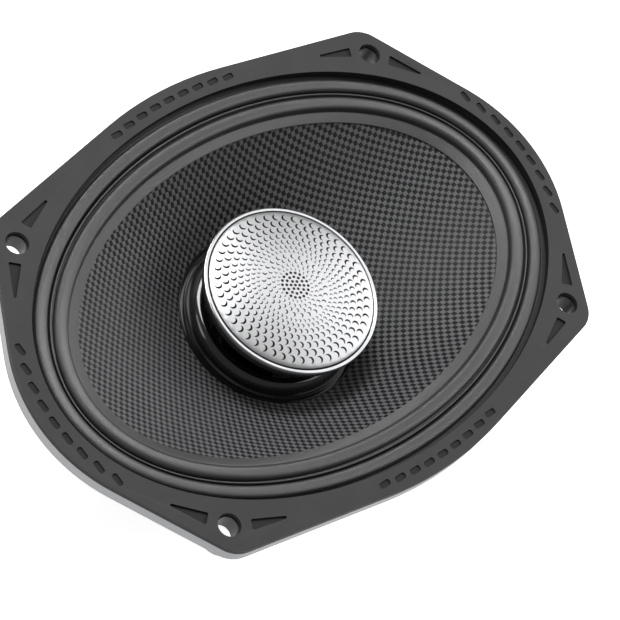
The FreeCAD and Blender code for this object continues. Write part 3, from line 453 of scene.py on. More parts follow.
def surround_rubber(finish, sizes):
    """Satin rubber crossed by fine slanting ribs, with painted shade that turns the lip in the gap by the gasket near
    black.
    """
    board = Board("surround_rubber", roughness=0.34, specular_ior_level=1.0)
    where, _ = board.place()
    along, across = board.uv()
    # Painted shade: the lip outside the outer roll is darkened to 0.06 of its colour, as the deep gap by the gasket is
    # in shade.
    shaded_lip_width = sizes.lip_x - sizes.outer_x - sizes.outer_radius
    painted_lip_shade = board.spread(across, shaded_lip_width, shaded_lip_width + 0.5 * MM, 0.06, 1.0)
    patches = board.spread(board.noise(where, 90), 0.35, 0.65, 0.9, 1.08)
    ribs = ((along + across * 0.9) * (2 * math.pi / sizes.rib_pitch)).math("SINE")
    # The colour also follows the ribs by a tenth: painted shade and painted highlight along the ribs.
    board.set("Base Color", board.shade(tuple(finish.surround), patches * painted_lip_shade * (1 + ribs * 0.1)))
    fine = ((along - across * 0.4) * (2 * math.pi / (sizes.rib_pitch * 0.55))).math("SINE")
    board.set("Roughness", board.spread(board.noise(where, 900), 0.3, 0.7, 0.3, 0.38) + (1 - painted_lip_shade) * 0.4)
    board.relief(ribs + fine * 0.4 + board.noise(where, 1800) * 0.3, 0.8, 0.035)
    return board.material


def woven_cloth(finish, sizes):
    """Plain weave: square cells, of which every other one shows the tow that runs along X, painted as the lit tow,
    while the crossing tows get painted shade.
    """
    board = Board("woven_cone", roughness=0.38, specular_ior_level=0.3)
    where, (across, along, _) = board.place()
    column, row = across / sizes.tow, along / sizes.tow
    parity = (column.math("FLOOR") + row.math("FLOOR")).math("FLOORED_MODULO", 2.0)
    from_column = (column.math("FRACT") - 0.5).math("ABSOLUTE")
    from_row = (row.math("FRACT") - 0.5).math("ABSOLUTE")
    warp = 1 - from_row * from_row * 4
    weft = 1 - from_column * from_column * 4
    height = warp * parity + weft * (1 - parity)
    edge = board.spread(from_row.math("MAXIMUM", from_column), 0.4, 0.5, 0.0, 0.35)
    share = parity * (1 - edge) + 0.5 * edge
    uneven = board.noise(where, 160, 2.0) * 0.25
    # Painted highlight and painted shade: the tows along X take the lit colour, the crossing tows the shaded one.
    base = board.mix(share.math("ADD", uneven - 0.12), tuple(finish.shaded_tow), tuple(finish.lit_tow))
    board.set("Base Color", base)
    fibres = (row * parity * 60).math("SINE") + (column * (1 - parity) * 60).math("SINE")
    board.set("Roughness", 0.5 - parity * 0.14)
    board.relief(height + fibres * 0.13, 0.7, 0.12)
    return board.material


def gloss_black(finish):
    """Polished black moulding with a clear coat."""
    board = Board("gloss_dust_ring", roughness=0.16, coat_weight=0.7, coat_roughness=0.04)
    where, _ = board.place()
    mottled(board, tuple(finish.gloss), where, 80, 0.1)
    board.set("Roughness", board.spread(board.noise(where, 400), 0.3, 0.7, 0.12, 0.2))
    board.relief(board.noise(where, 120, 1.0), 0.04, 0.05)
    return board.material


def satin_metal(finish):
    """Bead-blasted, clear-anodised sheet, with painted shade on the walls of its openings and on its underside."""
    board = Board("satin_grille", roughness=0.34, metallic=1.0)
    where, _ = board.place()
    depth, _ = board.uv()
    # Painted shade: the colour falls from full on the top face to 0.03 down the opening walls and on the underside.
    face = board.spread(depth, 0.55, 0.98, 0.03, 1.0)
    patches = board.spread(board.noise(where, 300), 0.35, 0.65, 0.98, 1.02)
    board.set("Base Color", board.shade(tuple(finish.grille), patches * face))
    grain = board.noise(where, 5200, 2.0)
    board.set("Roughness", board.spread(grain, 0.3, 0.7, 0.32, 0.44))
    board.relief(grain, 0.12, 0.01)
    return board.material


def plain_metal(name, colour, roughness, metallic=1.0, scale=900, relief=0.1):
    """Metal with a fine uneven finish."""
    board = Board(name, roughness=roughness, metallic=metallic)
    where, _ = board.place()
    mottled(board, colour, where, scale * 0.2, 0.08)
    grain = board.noise(where, scale)
    board.set("Roughness", board.spread(grain, 0.3, 0.7, roughness * 0.8, roughness * 1.25))
    board.relief(grain, relief, 0.03)
    return board.material


def powder_coat(finish):
    """Silver powder coat over cast alloy, with painted shade in the bores of the four bolt holes."""
    board = Board("cast_basket", roughness=0.42, metallic=0.55, coat_weight=0.15, coat_roughness=0.3)
    where, (across, along, _) = board.place()
    from_x = across.math("ABSOLUTE") - HOLE_ALONG
    from_y = along.math("ABSOLUTE") - HOLE_ACROSS
    reach = (from_x * from_x + from_y * from_y).math("SQRT")
    # Painted shade: within 4.2 mm of each bolt hole's centre the colour falls to 0.06, as the bores are in shade.
    painted_bore_shade = board.spread(reach, 3.9 * MM, 4.2 * MM, 0.06, 1.0)
    patches = board.spread(board.noise(where, 40), 0.35, 0.65, 0.95, 1.05)
    board.set("Base Color", board.shade(tuple(finish.basket), patches * painted_bore_shade))
    peel = board.noise(where, 1500, 2.0)
    board.set("Roughness", board.spread(peel, 0.3, 0.7, 0.36, 0.5))
    board.relief(peel, 0.25, 0.04)
    return board.material


def plain_plastic(name, colour, roughness, grain=1800, relief=0.2):
    """Moulded plastic or rubber with a fine texture."""
    board = Board(name, roughness=roughness)
    where, _ = board.place()
    mottled(board, colour, where, 70, 0.1)
    texture = board.noise(where, grain, 2.0)
    board.set("Roughness", board.spread(texture, 0.3, 0.7, roughness * 0.85, roughness * 1.15))
    board.relief(texture, relief, 0.04)
    return board.material


def cloth(name, colour, thread_mm, strength=0.6):
    """Plain cloth on Object coordinates: crossing sine threads."""
    board = Board(name, roughness=0.8)
    where, (across, along, _) = board.place()
    wave = 2 * math.pi / (thread_mm * MM)
    threads = (across * wave).math("SINE") * (along * wave).math("SINE")
    shade = board.spread(threads + board.noise(where, 500) * 0.6, -0.8, 1.2)
    board.set("Base Color", board.mix(shade, tuple(part * 0.55 for part in colour), colour))
    board.relief(threads, strength, 0.12)
    return board.material


def winding_copper():
    """Close turns of enamelled wire, one ring every 0.2 mm of height."""
    board = Board("copper_winding", roughness=0.3, metallic=1.0)
    _, (_, _, level) = board.place()
    turns = (level * (2 * math.pi / (0.2 * MM))).math("SINE")
    board.set("Base Color", board.mix(board.spread(turns, -1, 1), (0.35, 0.1, 0.03), (0.85, 0.38, 0.16)))
    board.relief(turns, 0.6, 0.05)
    return board.material


def braid():
    """Braided copper tinsel: two crossing helices on the piece's own map."""
    board = Board("tinsel_braid", roughness=0.42, metallic=0.8)
    along, around = board.uv()
    first = ((along * 5200) + around * (2 * math.pi * 4)).math("SINE")
    second = ((along * 5200) - around * (2 * math.pi * 4)).math("SINE")
    strands = first.math("MAXIMUM", second)
    board.set("Base Color", board.mix(board.spread(strands, -0.4, 1), (0.2, 0.09, 0.04), (0.78, 0.5, 0.3)))
    board.relief(strands, 0.8, 0.12)
    return board.material


def mesh_band():
    """Black band pierced by fine pores, where two slanting waves cross."""
    board = Board("vent_mesh", roughness=0.5)
    _, (across, along, level) = board.place()
    turn = along.math("ARCTAN2", across) * 31.2
    wave = 2 * math.pi / 1.1
    height = level * 1000
    first = ((turn + height) * wave).math("SINE")
    second = ((turn - height) * wave).math("SINE")
    pores = board.spread(first * second, 0.1, 0.5)
    board.set("Base Color", board.mix(pores, (0.035, 0.035, 0.037), (0.004, 0.004, 0.004)))
    board.set("Roughness", board.spread(pores, 0, 1, 0.42, 0.8))
    board.relief(1 - pores, 0.7, 0.2)
    return board.material


# ------------------------------------------------------------------ pieces

def squared_roll(centre, level, half, height, count):
    """Points (centre + half c|c|^-0.2, level + height s^0.7), c and s being cos t and sin t."""
    turn = np.radians(np.linspace(3, 177, count))
    across = np.sign(np.cos(turn)) * np.abs(np.cos(turn)) ** 0.8
    return list(zip(centre + half * across, level + height * np.sin(turn) ** 0.7))


def surround_profile(sizes):
    """Front side of the surround as (half length, level), from the lip to the flap."""
    outer = squared_roll(sizes.outer_x, sizes.outer_level, sizes.outer_radius, sizes.outer_height, 26)
    inner = squared_roll(sizes.inner_x, sizes.inner_level, sizes.inner_radius, sizes.inner_height, 28)
    floor = sizes.bead_level - 1.6 * MM
    bead = [(sizes.bead_x + 0.42 * MM, floor)]
    bead += arc((sizes.bead_x, sizes.bead_level - 0.32 * MM), 0.32 * MM, 0, 180, 9)
    bead += [(sizes.bead_x - 0.42 * MM, floor)]
    edge = sizes.outer_x + sizes.outer_radius
    lip = [(sizes.lip_x, sizes.lip_level + sizes.sheet), (edge + 1.2 * MM, sizes.lip_level + sizes.sheet),
           (edge + 0.15 * MM, sizes.lip_level + 0.4 * sizes.sheet)]
    foot = sizes.inner_x - sizes.inner_radius
    flap = [(foot - 0.15 * MM, sizes.inner_level - 0.02 * MM), (foot - 0.5 * MM, sizes.inner_level + 0.1 * MM),
            (foot - 1.0 * MM, sizes.inner_level - 0.05 * MM)]
    return lip + outer + bead + inner + flap


class SPEAKER_OT_surround(Operator):
    """Two rubber rolls: a profile carried round ovals, stretched between basket and cone"""
    bl_idname = "speaker.surround"
    bl_label = "Surround"

    def execute(self, context):
        sizes = context.scene.speaker_surround
        front = np.array(surround_profile(sizes))
        back = offset_profile(front, -sizes.sheet)[::-1]
        back[:, 1] = np.minimum(back[:, 1], front[::-1, 1] - 0.3 * sizes.sheet)
        turns = 640
        ring = [(x, x - sizes.oval_difference, level) for x, level in front]
        ring += [(sizes.flap_x, sizes.flap_y, sizes.flap_level - drop) for drop in (0.0, 0.35 * MM)]
        ring += [(x, x - sizes.oval_difference, level) for x, level in back]
        piece = oval_shell("surround_rolls", ring, turns)
        weight = (sizes.outer_x + sizes.outer_radius - np.array(ring)[:, 0]) / (
            sizes.outer_x + sizes.outer_radius - (sizes.inner_x - sizes.inner_radius))
        stretch_between(piece, np.tile(smooth_step(weight), turns))
        rubber = surround_rubber(context.scene.speaker_finish, sizes)
        finished(piece, rubber, FRAME_BODY, "surround_rubber", "surround")
        return {"FINISHED"}


def cone_rings(sizes, steps, lift):
    """Ovals of one side of the cone, straight from weave edge to waist and from waist to neck."""
    rows = [(sizes.rim_x, sizes.rim_y, sizes.rim_level)]
    for share in np.linspace(1, 0, steps):
        rows.append((sizes.waist_radius + (sizes.weave_x - sizes.waist_radius) * share,
                     sizes.waist_radius + (sizes.weave_y - sizes.waist_radius) * share,
                     sizes.waist_level + (sizes.weave_level - sizes.waist_level) * share))
    for share in np.linspace(1, 0, 8)[1:]:
        radius = sizes.neck_radius + (sizes.waist_radius - sizes.neck_radius) * share
        rows.append((radius, radius, sizes.neck_level + (sizes.waist_level - sizes.neck_level) * share))
    rows = np.array(rows)
    return rows + np.array([lift, lift, -lift])


class SPEAKER_OT_cone(Operator):
    """Woven cone: straight lines from an oval rim to a round neck, with a wall"""
    bl_idname = "speaker.cone"
    bl_label = "Cone"

    def execute(self, context):
        sizes = context.scene.speaker_cone
        front = cone_rings(sizes, 40, 0.0)
        back = cone_rings(sizes, 40, sizes.wall * 0.7)[::-1]
        piece = oval_shell("woven_cone_body", np.vstack([front, back]), 384)
        finished(piece, woven_cloth(context.scene.speaker_finish, sizes), CONE_BODY, "woven_cone", "cone")
        return {"FINISHED"}


class SPEAKER_OT_dust_ring(Operator):
    """Glossy ring in the cone's neck: a quarter oval section turned about the axis"""
    bl_idname = "speaker.dust_ring"
    bl_label = "Dust ring"

    def execute(self, context):
        cone = context.scene.speaker_cone
        top, mouth, foot, low = -18.3 * MM, 26.5 * MM, 31.2 * MM, cone.waist_level
        turn = np.radians(np.linspace(0, 90, 26))
        dome = [(mouth + (foot - mouth) * math.cos(t), low + 0.9 * MM + (top - low - 0.9 * MM) * math.sin(t))
                for t in turn]
        outside = [(radius, radius, level) for radius, level in dome]
        inside = [(radius - 0.6 * MM * math.cos(t), radius - 0.6 * MM * math.cos(t), level - 0.6 * MM * math.sin(t))
                  for (radius, level), t in zip(dome, turn)][::-1]
        step_x = (cone.weave_x - cone.waist_radius) / (cone.weave_level - cone.waist_level)
        step_y = (cone.weave_y - cone.waist_radius) / (cone.weave_level - cone.waist_level)
        flange = []
        for rise, lift in ((1.12, -0.05), (1.12, 0.22), (0.9, 0.34), (0.62, 0.3), (0.3, 0.12),
                           (0.12, 0.3), (-0.1, 0.42), (-0.25, 0.3)):
            flange.append((cone.waist_radius + rise * MM * step_x, cone.waist_radius + rise * MM * step_y,
                           low + (rise + lift) * MM))
        base = [(30.6 * MM, 30.6 * MM, low - 0.05 * MM)]
        rolled = [(mouth - 0.25 * MM, mouth - 0.25 * MM, top - 0.3 * MM)]
        piece = oval_shell("dust_ring_gloss", flange + outside + rolled + inside + base, 256)
        finished(piece, gloss_black(context.scene.speaker_finish), CONE_BODY, "gloss_dust_ring", "dust_ring")
        return {"FINISHED"}


class SPEAKER_OT_spider(Operator):
    """Corrugated cloth: level + a sin(2 pi r / pitch) turned about the axis"""
    bl_idname = "speaker.spider"
    bl_label = "Spider"

    def execute(self, context):
        lowest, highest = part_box("spider")
        inner, outer = 20.0 * MM, highest.x
        level = (lowest.z + highest.z) / 2 - 0.25 * MM
        start, pitch, waves = inner + 2.5 * MM, 5.0 * MM, 5
        radius = np.linspace(start, start + waves * pitch, 101)
        fade = smooth_step((radius - start) / (2 * MM)) * smooth_step((start + waves * pitch - radius) / (2 * MM))
        height = level + 1.3 * MM * np.sin(2 * np.pi * (radius - start) / pitch) * fade
        upper = [(inner, level), *zip(radius, height), (outer, level)]
        lower = [(r, z - 0.4 * MM) for r, z in reversed(upper)]
        piece = turned_shell("spider_corrugated", upper + lower, 192)
        distance = np.hypot(*places(piece)[:, :2].T)
        stretch_between(piece, smooth_step((start + waves * pitch - distance) / (waves * pitch)))
        finished(piece, cloth("spider_cloth", (0.62, 0.4, 0.13), 0.7), FRAME_BODY, "spider_cloth", "spider")
        return {"FINISHED"}


def crescent(centre_radius, turn, width, sizes):
    """Outline of a crescent: a circle less a smaller circle moved towards its hollow side.

    With the outer radius 1, the inner radius b and the move d, the tips lie where
    x = (1 - b b + d d) / (2 d) along the hollow direction.
    """
    hollow = turn + sizes.turn
    inner, move = 0.94, 0.55
    tip = (1 - inner ** 2 + move ** 2) / (2 * move)
    half = math.acos(tip)
    back = np.linspace(half, 2 * math.pi - half, sizes.facets)
    half_inner = math.acos((tip - move) / inner)
    front = np.linspace(2 * math.pi - half_inner, half_inner, sizes.facets - 1)[1:-1]
    local = np.vstack([np.stack([np.cos(back) + 0.5, np.sin(back)], axis=1),
                       np.stack([inner * np.cos(front) + move + 0.5, inner * np.sin(front)], axis=1)])
    ahead = np.array([math.cos(hollow), math.sin(hollow)])
    aside = np.array([-ahead[1], ahead[0]])
    middle = centre_radius * np.array([math.cos(turn), math.sin(turn)])
    return middle + width / 2 * (local[:, :1] * ahead + local[:, 1:] * aside)


def anticlockwise(loop):
    """The loop, turned round where its signed area is negative."""
    ahead = np.roll(loop, -1, axis=0)
    area = (loop[:, 0] * ahead[:, 1] - ahead[:, 0] * loop[:, 1]).sum()
    return loop if area > 0 else loop[::-1]


def circle(centre, radius, count):
    turn = np.linspace(0, 2 * np.pi, count, endpoint=False)
    return np.asarray(centre) + radius * np.stack([np.cos(turn), np.sin(turn)], axis=1)


CRESCENT_RINGS = [
    # radius, width, number in the ring, first place in degrees
    (27.7, 2.6, 50, -0.4), (24.95, 2.5, 50, 3.4), (22.2, 2.22, 50, 0.0), (19.65, 1.95, 50, 3.8),
    (17.33, 1.68, 50, 0.4), (15.3, 1.42, 50, 4.2), (13.57, 1.18, 50, 0.8),
    (11.4, 1.72, 25, -1.6), (9.67, 1.5, 25, 5.6), (7.95, 1.28, 25, -1.4), (6.3, 1.0, 25, 6.2),
]


def grille_openings(sizes):
    """Every opening's outline: round holes in the middle, rings of crescents round them."""
    openings = [circle((0, 0), sizes.hole_radius, 12)]
    for ring in (1, 2, 3):
        for index in range(6 * ring):
            turn = math.pi / 2 + 2 * math.pi * index / (6 * ring)
            centre = sizes.hole_step * ring * np.array([math.cos(turn), math.sin(turn)])
            openings.append(circle(centre, sizes.hole_radius, 12))
    for radius, width, count, first in CRESCENT_RINGS:
        for index in range(count):
            turn = math.radians(first + 360 * index / count)
            openings.append(crescent(radius * MM, turn, width * MM, sizes))
    return openings


def triangulated(outline, openings, extra):
    """Triangles of a flat plate with openings.

    Every loop runs anticlockwise, so a triangle with all its corners on one opening
    lies inside that opening when it meets them in the loop's own direction.
    """
    loops = [outline, *openings]
    flat = np.vstack([*loops, extra])
    edges = []
    owner = np.full(len(flat), -1)
    start = 0
    for index, loop in enumerate(loops):
        count = len(loop)
        edges += [(start + k, start + (k + 1) % count) for k in range(count)]
        owner[start:start + count] = index
        start += count
    result = delaunay_2d_cdt([Vector(point) for point in (flat / MM).tolist()], edges, [], 0, 1e-5)
    points = np.array([tuple(point) for point in result[0]]) * MM
    source = np.array([origin[0] for origin in result[3]])
    triangles = np.array([face for face in result[2]])
    loop_of = owner[source][triangles]
    one_loop = (loop_of == loop_of[:, :1]).all(axis=1) & (loop_of[:, 0] > 0)
    ordered = np.take_along_axis(triangles, np.argsort(source[triangles], axis=1), axis=1)
    first, second, third = (points[ordered[:, k]] for k in range(3))
    turn = (second - first)[:, 0] * (third - first)[:, 1] - (second - first)[:, 1] * (third - first)[:, 0]
    return points, triangles[~(one_loop & (turn > 0))]


def rim_edges(triangles):
    """Directed edges that only one triangle has."""
    edges = np.vstack([triangles[:, [0, 1]], triangles[:, [1, 2]], triangles[:, [2, 0]]])
    count = int(edges.max()) + 1
    return edges[~np.isin(edges[:, 1] * count + edges[:, 0], edges[:, 0] * count + edges[:, 1])]


class SPEAKER_OT_grille(Operator):
    """Perforated dome: a flat plate with crescent openings, lifted onto a sphere"""
    bl_idname = "speaker.grille"
    bl_label = "Grille"

    def execute(self, context):
        sizes = context.scene.speaker_grille
        fall = sizes.crown - sizes.edge_level
        sphere = (sizes.radius ** 2 + fall ** 2) / (2 * fall)
        outline = circle((0, 0), sizes.radius, 240)
        rings = [circle((0, 0), radius * MM, 120) for radius in (29.85, 30.2, 12.5, 5.62)]
        flat, triangles = triangulated(outline, [anticlockwise(loop) for loop in grille_openings(sizes)],
                                       np.vstack(rings))
        distance = np.hypot(flat[:, 0], flat[:, 1])
        top = sizes.crown - sphere + np.sqrt(sphere ** 2 - distance ** 2)
        top -= 0.3 * MM * smooth_step((distance - 30.0 * MM) / (0.6 * MM))
        count = len(flat)
        points = np.vstack([np.column_stack([flat, top]), np.column_stack([flat, top - sizes.sheet])])
        walls = rim_edges(triangles)
        sides = np.vstack([np.column_stack([walls[:, 1], walls[:, 0], walls[:, 0] + count]),
                           np.column_stack([walls[:, 1], walls[:, 0] + count, walls[:, 1] + count])])
        faces = np.vstack([triangles, triangles[:, ::-1] + count, sides])
        # Depth is 1 on the top face and 0 on the underside; the grille's material paints shade from it.
        depth = np.repeat([1.0, 0.0], count)
        piece = mesh_object("grille_perforated", points, faces, depth[faces][:, :, None] * np.ones(2), crease_deg=30)
        finished(piece, satin_metal(context.scene.speaker_finish), FRAME_BODY, "satin_grille", "tweeter_grille")
        return {"FINISHED"}


class SPEAKER_OT_tweeter_rim(Operator):
    """Bright rim: a rounded section turned about the axis"""
    bl_idname = "speaker.tweeter_rim"
    bl_label = "Tweeter rim"

    def execute(self, context):
        lowest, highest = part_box("tweeter_rim")
        outer, top, low = highest.x, highest.z, lowest.z
        profile = [(outer - 1.55 * MM, low), (outer - 0.1 * MM, low), (outer, low + 0.1 * MM)]
        profile += arc((outer - 0.5 * MM, top - 0.5 * MM), 0.5 * MM, 0, 90, 8)
        profile += [(outer - 1.0 * MM, top)]
        profile += arc((outer - 1.25 * MM, top - 0.22 * MM), 0.22 * MM, 80, 180, 6)
        piece = turned_shell("tweeter_rim_bright", profile, 256)
        metal = plain_metal("bright_rim", (0.46, 0.465, 0.475), 0.14, scale=500, relief=0.03)
        finished(piece, metal, FRAME_BODY, "bright_rim", "tweeter_rim")
        return {"FINISHED"}


class SPEAKER_OT_tweeter_suspension(Operator):
    """Dome's half roll: level = foot + height sin(pi (r - inner) / (outer - inner)) between two flat lips"""
    bl_idname = "speaker.tweeter_suspension"
    bl_label = "Tweeter suspension"

    def execute(self, context):
        lowest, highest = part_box("tweeter_suspension")
        foot, outer = lowest.z, highest.x
        inner, roll_start, roll_end, film, height = 13.3 * MM, 14.2 * MM, 16.0 * MM, 0.12 * MM, 0.7 * MM
        radius = np.concatenate([[inner], np.linspace(roll_start, roll_end, 17), [outer - 0.01 * MM]])
        part = np.clip((radius - roll_start) / (roll_end - roll_start), 0, 1)
        level = foot + film + height * np.sin(np.pi * part)
        front = np.stack([radius, level], axis=1)
        back = np.stack([radius, level - film], axis=1)[::-1]
        piece = turned_shell("tweeter_half_roll", np.vstack([front, back]), 128)
        reach = np.hypot(*places(piece)[:, :2].T)
        weight = 1 - smooth_step((reach - roll_start) / (roll_end - roll_start))
        stretch_between(piece, weight, DOME_BODY)
        finished(piece, plain_plastic("roll_film", (0.008, 0.008, 0.009), 0.35, 300, 0.1),
                 FRAME_BODY, "dome_film", "tweeter_suspension")
        return {"FINISHED"}


class SPEAKER_OT_vent_ring(Operator):
    """Perforated black band under the rim: a plain section turned about the axis"""
    bl_idname = "speaker.vent_ring"
    bl_label = "Vent ring"

    def execute(self, context):
        lowest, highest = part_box("tweeter_vent_ring")
        outer, top, low = highest.x, highest.z, lowest.z
        profile = [(outer - 0.9 * MM, low), (outer - 0.15 * MM, low), (outer, low + 0.15 * MM),
                   (outer, top - 0.5 * MM), (outer - 0.3 * MM, top - 0.25 * MM), (outer - 0.3 * MM, top),
                   (outer - 0.9 * MM, top)]
        piece = turned_shell("vent_band", profile, 256)
        finished(piece, mesh_band(), FRAME_BODY, "vent_mesh", "tweeter_vent_ring")
        return {"FINISHED"}


class SPEAKER_OT_cast_and_moulded(Operator):
    """Basket, gasket, seal, boot and terminal board with their edges rounded as moulded"""
    bl_idname = "speaker.cast_and_moulded"
    bl_label = "Cast and moulded parts"

    def execute(self, context):
        finish = context.scene.speaker_finish
        parts = (
            ("basket", "basket_cast", 0.5, powder_coat(finish), "cast_basket"),
            ("front_gasket", "gasket_moulded", 0.3, gasket_rubber(finish), "gasket_rubber"),
            ("rear_seal", "rear_seal_foam", 0.7, plain_plastic("seal_foam", (0.02, 0.02, 0.021), 0.95, 700, 0.8),
             "seal_foam"),
            ("magnet_boot", "boot_moulded", 0.6, plain_plastic("boot_rubber", (0.017, 0.017, 0.018), 0.6, 1400, 0.3),
             "boot_rubber"),
            ("terminal_board", "board_cut", 0.15,
             plain_plastic("terminal_phenolic", (0.02, 0.018, 0.017), 0.5, 1200, 0.3), "terminal_phenolic"),
        )
        for node, name, width, material, slot in parts:
            finished(softened_copy(node, name, width), material, FRAME_BODY, slot, node)
        return {"FINISHED"}


def smooth_route(route):
    """Points along the NURBS curve that has the route as its control points."""
    curve = bpy.data.curves.new("route", "CURVE")
    curve.dimensions = "3D"
    curve.resolution_u = 12
    spline = curve.splines.new("NURBS")
    spline.points.add(len(route) - 1)
    spline.points.foreach_set("co", [part for point in route for part in (*point, 1.0)])
    spline.order_u = 3
    spline.use_endpoint_u = True
    holder = bpy.data.objects.new("route", curve)
    bpy.context.scene.collection.objects.link(holder)
    bpy.context.view_layer.update()
    mesh = bpy.data.meshes.new_from_object(holder.evaluated_get(bpy.context.evaluated_depsgraph_get()))
    points = np.array([tuple(vertex.co) for vertex in mesh.vertices])
    bpy.data.objects.remove(holder)
    bpy.data.curves.remove(curve)
    bpy.data.meshes.remove(mesh)
    return points


def tube(name, path, radius, sides=TUBE_SIDES):
    """A round tube along a path: each ring lies across the path's own direction."""
    ahead = np.gradient(path, axis=0)
    ahead /= np.linalg.norm(ahead, axis=1)[:, None]
    side = np.zeros_like(ahead)
    first = np.cross(ahead[0], (0.0, 0.0, 1.0))
    if np.linalg.norm(first) < 1e-3:
        first = np.array([1.0, 0.0, 0.0])
    side[0] = first / np.linalg.norm(first)
    for index in range(1, len(path)):
        turned = side[index - 1] - ahead[index] * np.dot(side[index - 1], ahead[index])
        side[index] = turned / np.linalg.norm(turned)
    other = np.cross(ahead, side)
    turn = np.linspace(0, 2 * np.pi, sides, endpoint=False)
    rings = (path[:, None] + radius * (np.cos(turn)[None, :, None] * side[:, None]
                                       + np.sin(turn)[None, :, None] * other[:, None]))
    points = np.vstack([rings.reshape(-1, 3), path[:1], path[-1:]])
    faces, rows, columns = quads(len(path), sides, False, True)
    last = len(path) * sides
    cap = np.arange(sides)
    following = (cap + 1) % sides
    start_cap = np.stack([cap, following, np.full(sides, last), np.full(sides, last)], axis=1)
    end_cap = np.stack([following, cap, np.full(sides, last + 1), np.full(sides, last + 1)], axis=1)
    end_cap[:, :2] += (len(path) - 1) * sides
    along = travelled(path)
    uv = np.stack([along[rows], columns / sides], axis=2)
    mesh = bpy.data.meshes.new(name)
    polygons = faces.tolist() + [face[:3] for face in start_cap.tolist() + end_cap.tolist()]
    mesh.from_pydata(points.tolist(), [], polygons)
    layer = mesh.uv_layers.new(name="UVMap")
    caps = np.zeros((2 * sides * 3, 2))
    layer.data.foreach_set("uv", np.vstack([uv.reshape(-1, 2), caps]).astype(np.float32).ravel())
    mesh.polygons.foreach_set("use_smooth", np.ones(len(mesh.polygons), bool))
    piece = bpy.data.objects.new(name, mesh)
    bpy.context.scene.collection.objects.link(piece)
    return piece


class SPEAKER_OT_cable(Operator):
    """Cable from the terminal board down the motor and up through the hollow pole"""
    bl_idname = "speaker.cable"
    bl_label = "Tweeter cable"

    def execute(self, context):
        turn = math.radians(102.3)
        route = [(68.2, -31), (68.2, -38), (68.2, -43), (64.0, -50), (57.5, -56), (54.2, -62), (54.2, -70), (54.2, -77),
                 (53.2, -81.6), (48.5, -83.0), (40, -83.0), (28, -83.0), (16, -83.0), (6, -83.0), (1.2, -82.6),
                 (0, -79), (0, -70), (0, -50), (0, -30), (0, -12.2)]
        points = [(radius * math.cos(turn) * MM, radius * math.sin(turn) * MM, level * MM) for radius, level in route]
        piece = tube("tweeter_cable_sheath", smooth_route(points), 0.88 * MM)
        finished(piece, plain_plastic("cable_sheath", (0.015, 0.015, 0.016), 0.4, 900, 0.15),
                 FRAME_BODY, "cable_sheath", "tweeter_cable")
        return {"FINISHED"}


class SPEAKER_OT_tinsel_leads(Operator):
    """Two braided leads that hang in a bow from the board to the eyelets on the cone"""
    bl_idname = "speaker.tinsel_leads"
    bl_label = "Tinsel leads"

    def execute(self, context):
        material = braid()
        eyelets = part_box("lead_eyelets")
        end_level = (eyelets[0].z + eyelets[1].z) / 2
        for side in (-1, 1):
            route = [(15.0, 69.6, -22.0), (15.8, 67.0, -23.6), (16.8, 62.0, -27.2), (17.4, 56.5, -29.2),
                     (17.2, 51.5, -28.0), (16.4, 47.5, -23.8), (15.6, 44.3, -18.5), (15.0, 42.6, end_level / MM - 1.0)]
            path = smooth_route([(side * x * MM, y * MM, z * MM) for x, y, z in route])
            piece = tube("tinsel_lead_%s" % ("left" if side < 0 else "right"), path, 0.7 * MM)
            share = np.repeat(np.linspace(0, 1, len(path)), TUBE_SIDES)
            stretch_between(piece, smooth_step(np.concatenate([share, [0, 1]])))
            finished(piece, material, FRAME_BODY, "tinsel_braid")
        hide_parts("tinsel_leads")
        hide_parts("tinsel_leads")
        return {"FINISHED"}


class SPEAKER_OT_finishes(Operator):
    """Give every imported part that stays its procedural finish"""
    bl_idname = "speaker.finishes"
    bl_label = "Finishes of the packed parts"

    def execute(self, context):
        black = plain_plastic("black_plastic", (0.012, 0.012, 0.013), 0.45)
        steel = plain_metal("plated_steel", (0.09, 0.09, 0.095), 0.42)
        zinc = plain_metal("rivet_steel", (0.66, 0.66, 0.67), 0.24)
        brass = plain_metal("brass_rivet", (0.78, 0.56, 0.24), 0.25)
        tin = plain_metal("tinned_brass", (0.8, 0.77, 0.68), 0.28)
        winding = winding_copper()
        film = plain_plastic("dome_film", (0.008, 0.008, 0.009), 0.35, 300, 0.1)
        foil = plain_metal("coil_former_alloy", (0.05, 0.05, 0.052), 0.45)
        looks = {
            "top_plate": steel, "yoke": steel, "tweeter_yoke": steel, "tweeter_pole_plate": steel,
            "ferrite_magnet": plain_plastic("ferrite", (0.03, 0.03, 0.032), 0.55, 500, 0.5),
            "plate_rivets": zinc, "post_washer": zinc, "post_nut": zinc, "board_screw": zinc,
            "tweeter_post": black, "tweeter_housing": black, "tweeter_face_ring": black, "capacitor_clip": black,
            "tweeter_magnet": plain_metal("neodymium", (0.7, 0.69, 0.66), 0.2),
            "tweeter_felt_pad": cloth("felt", (0.06, 0.06, 0.06), 0.5, 0.9),
            "tweeter_dome": film,
            "coil_former": foil, "tweeter_coil_former": foil,
            "voice_coil": winding, "tweeter_coil": winding,
            "positive_blade": tin, "negative_blade": tin,
            "terminal_rivets": brass, "lead_eyelets": brass,
            "crossover_capacitor": plain_plastic("capacitor_film", (0.5, 0.33, 0.03), 0.3, 300, 0.1),
        }
        for node, material in looks.items():
            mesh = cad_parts[node].data
            mesh.materials.clear()
            mesh.materials.append(material)
        return {"FINISHED"}


# ------------------------------------------------------------------ stage

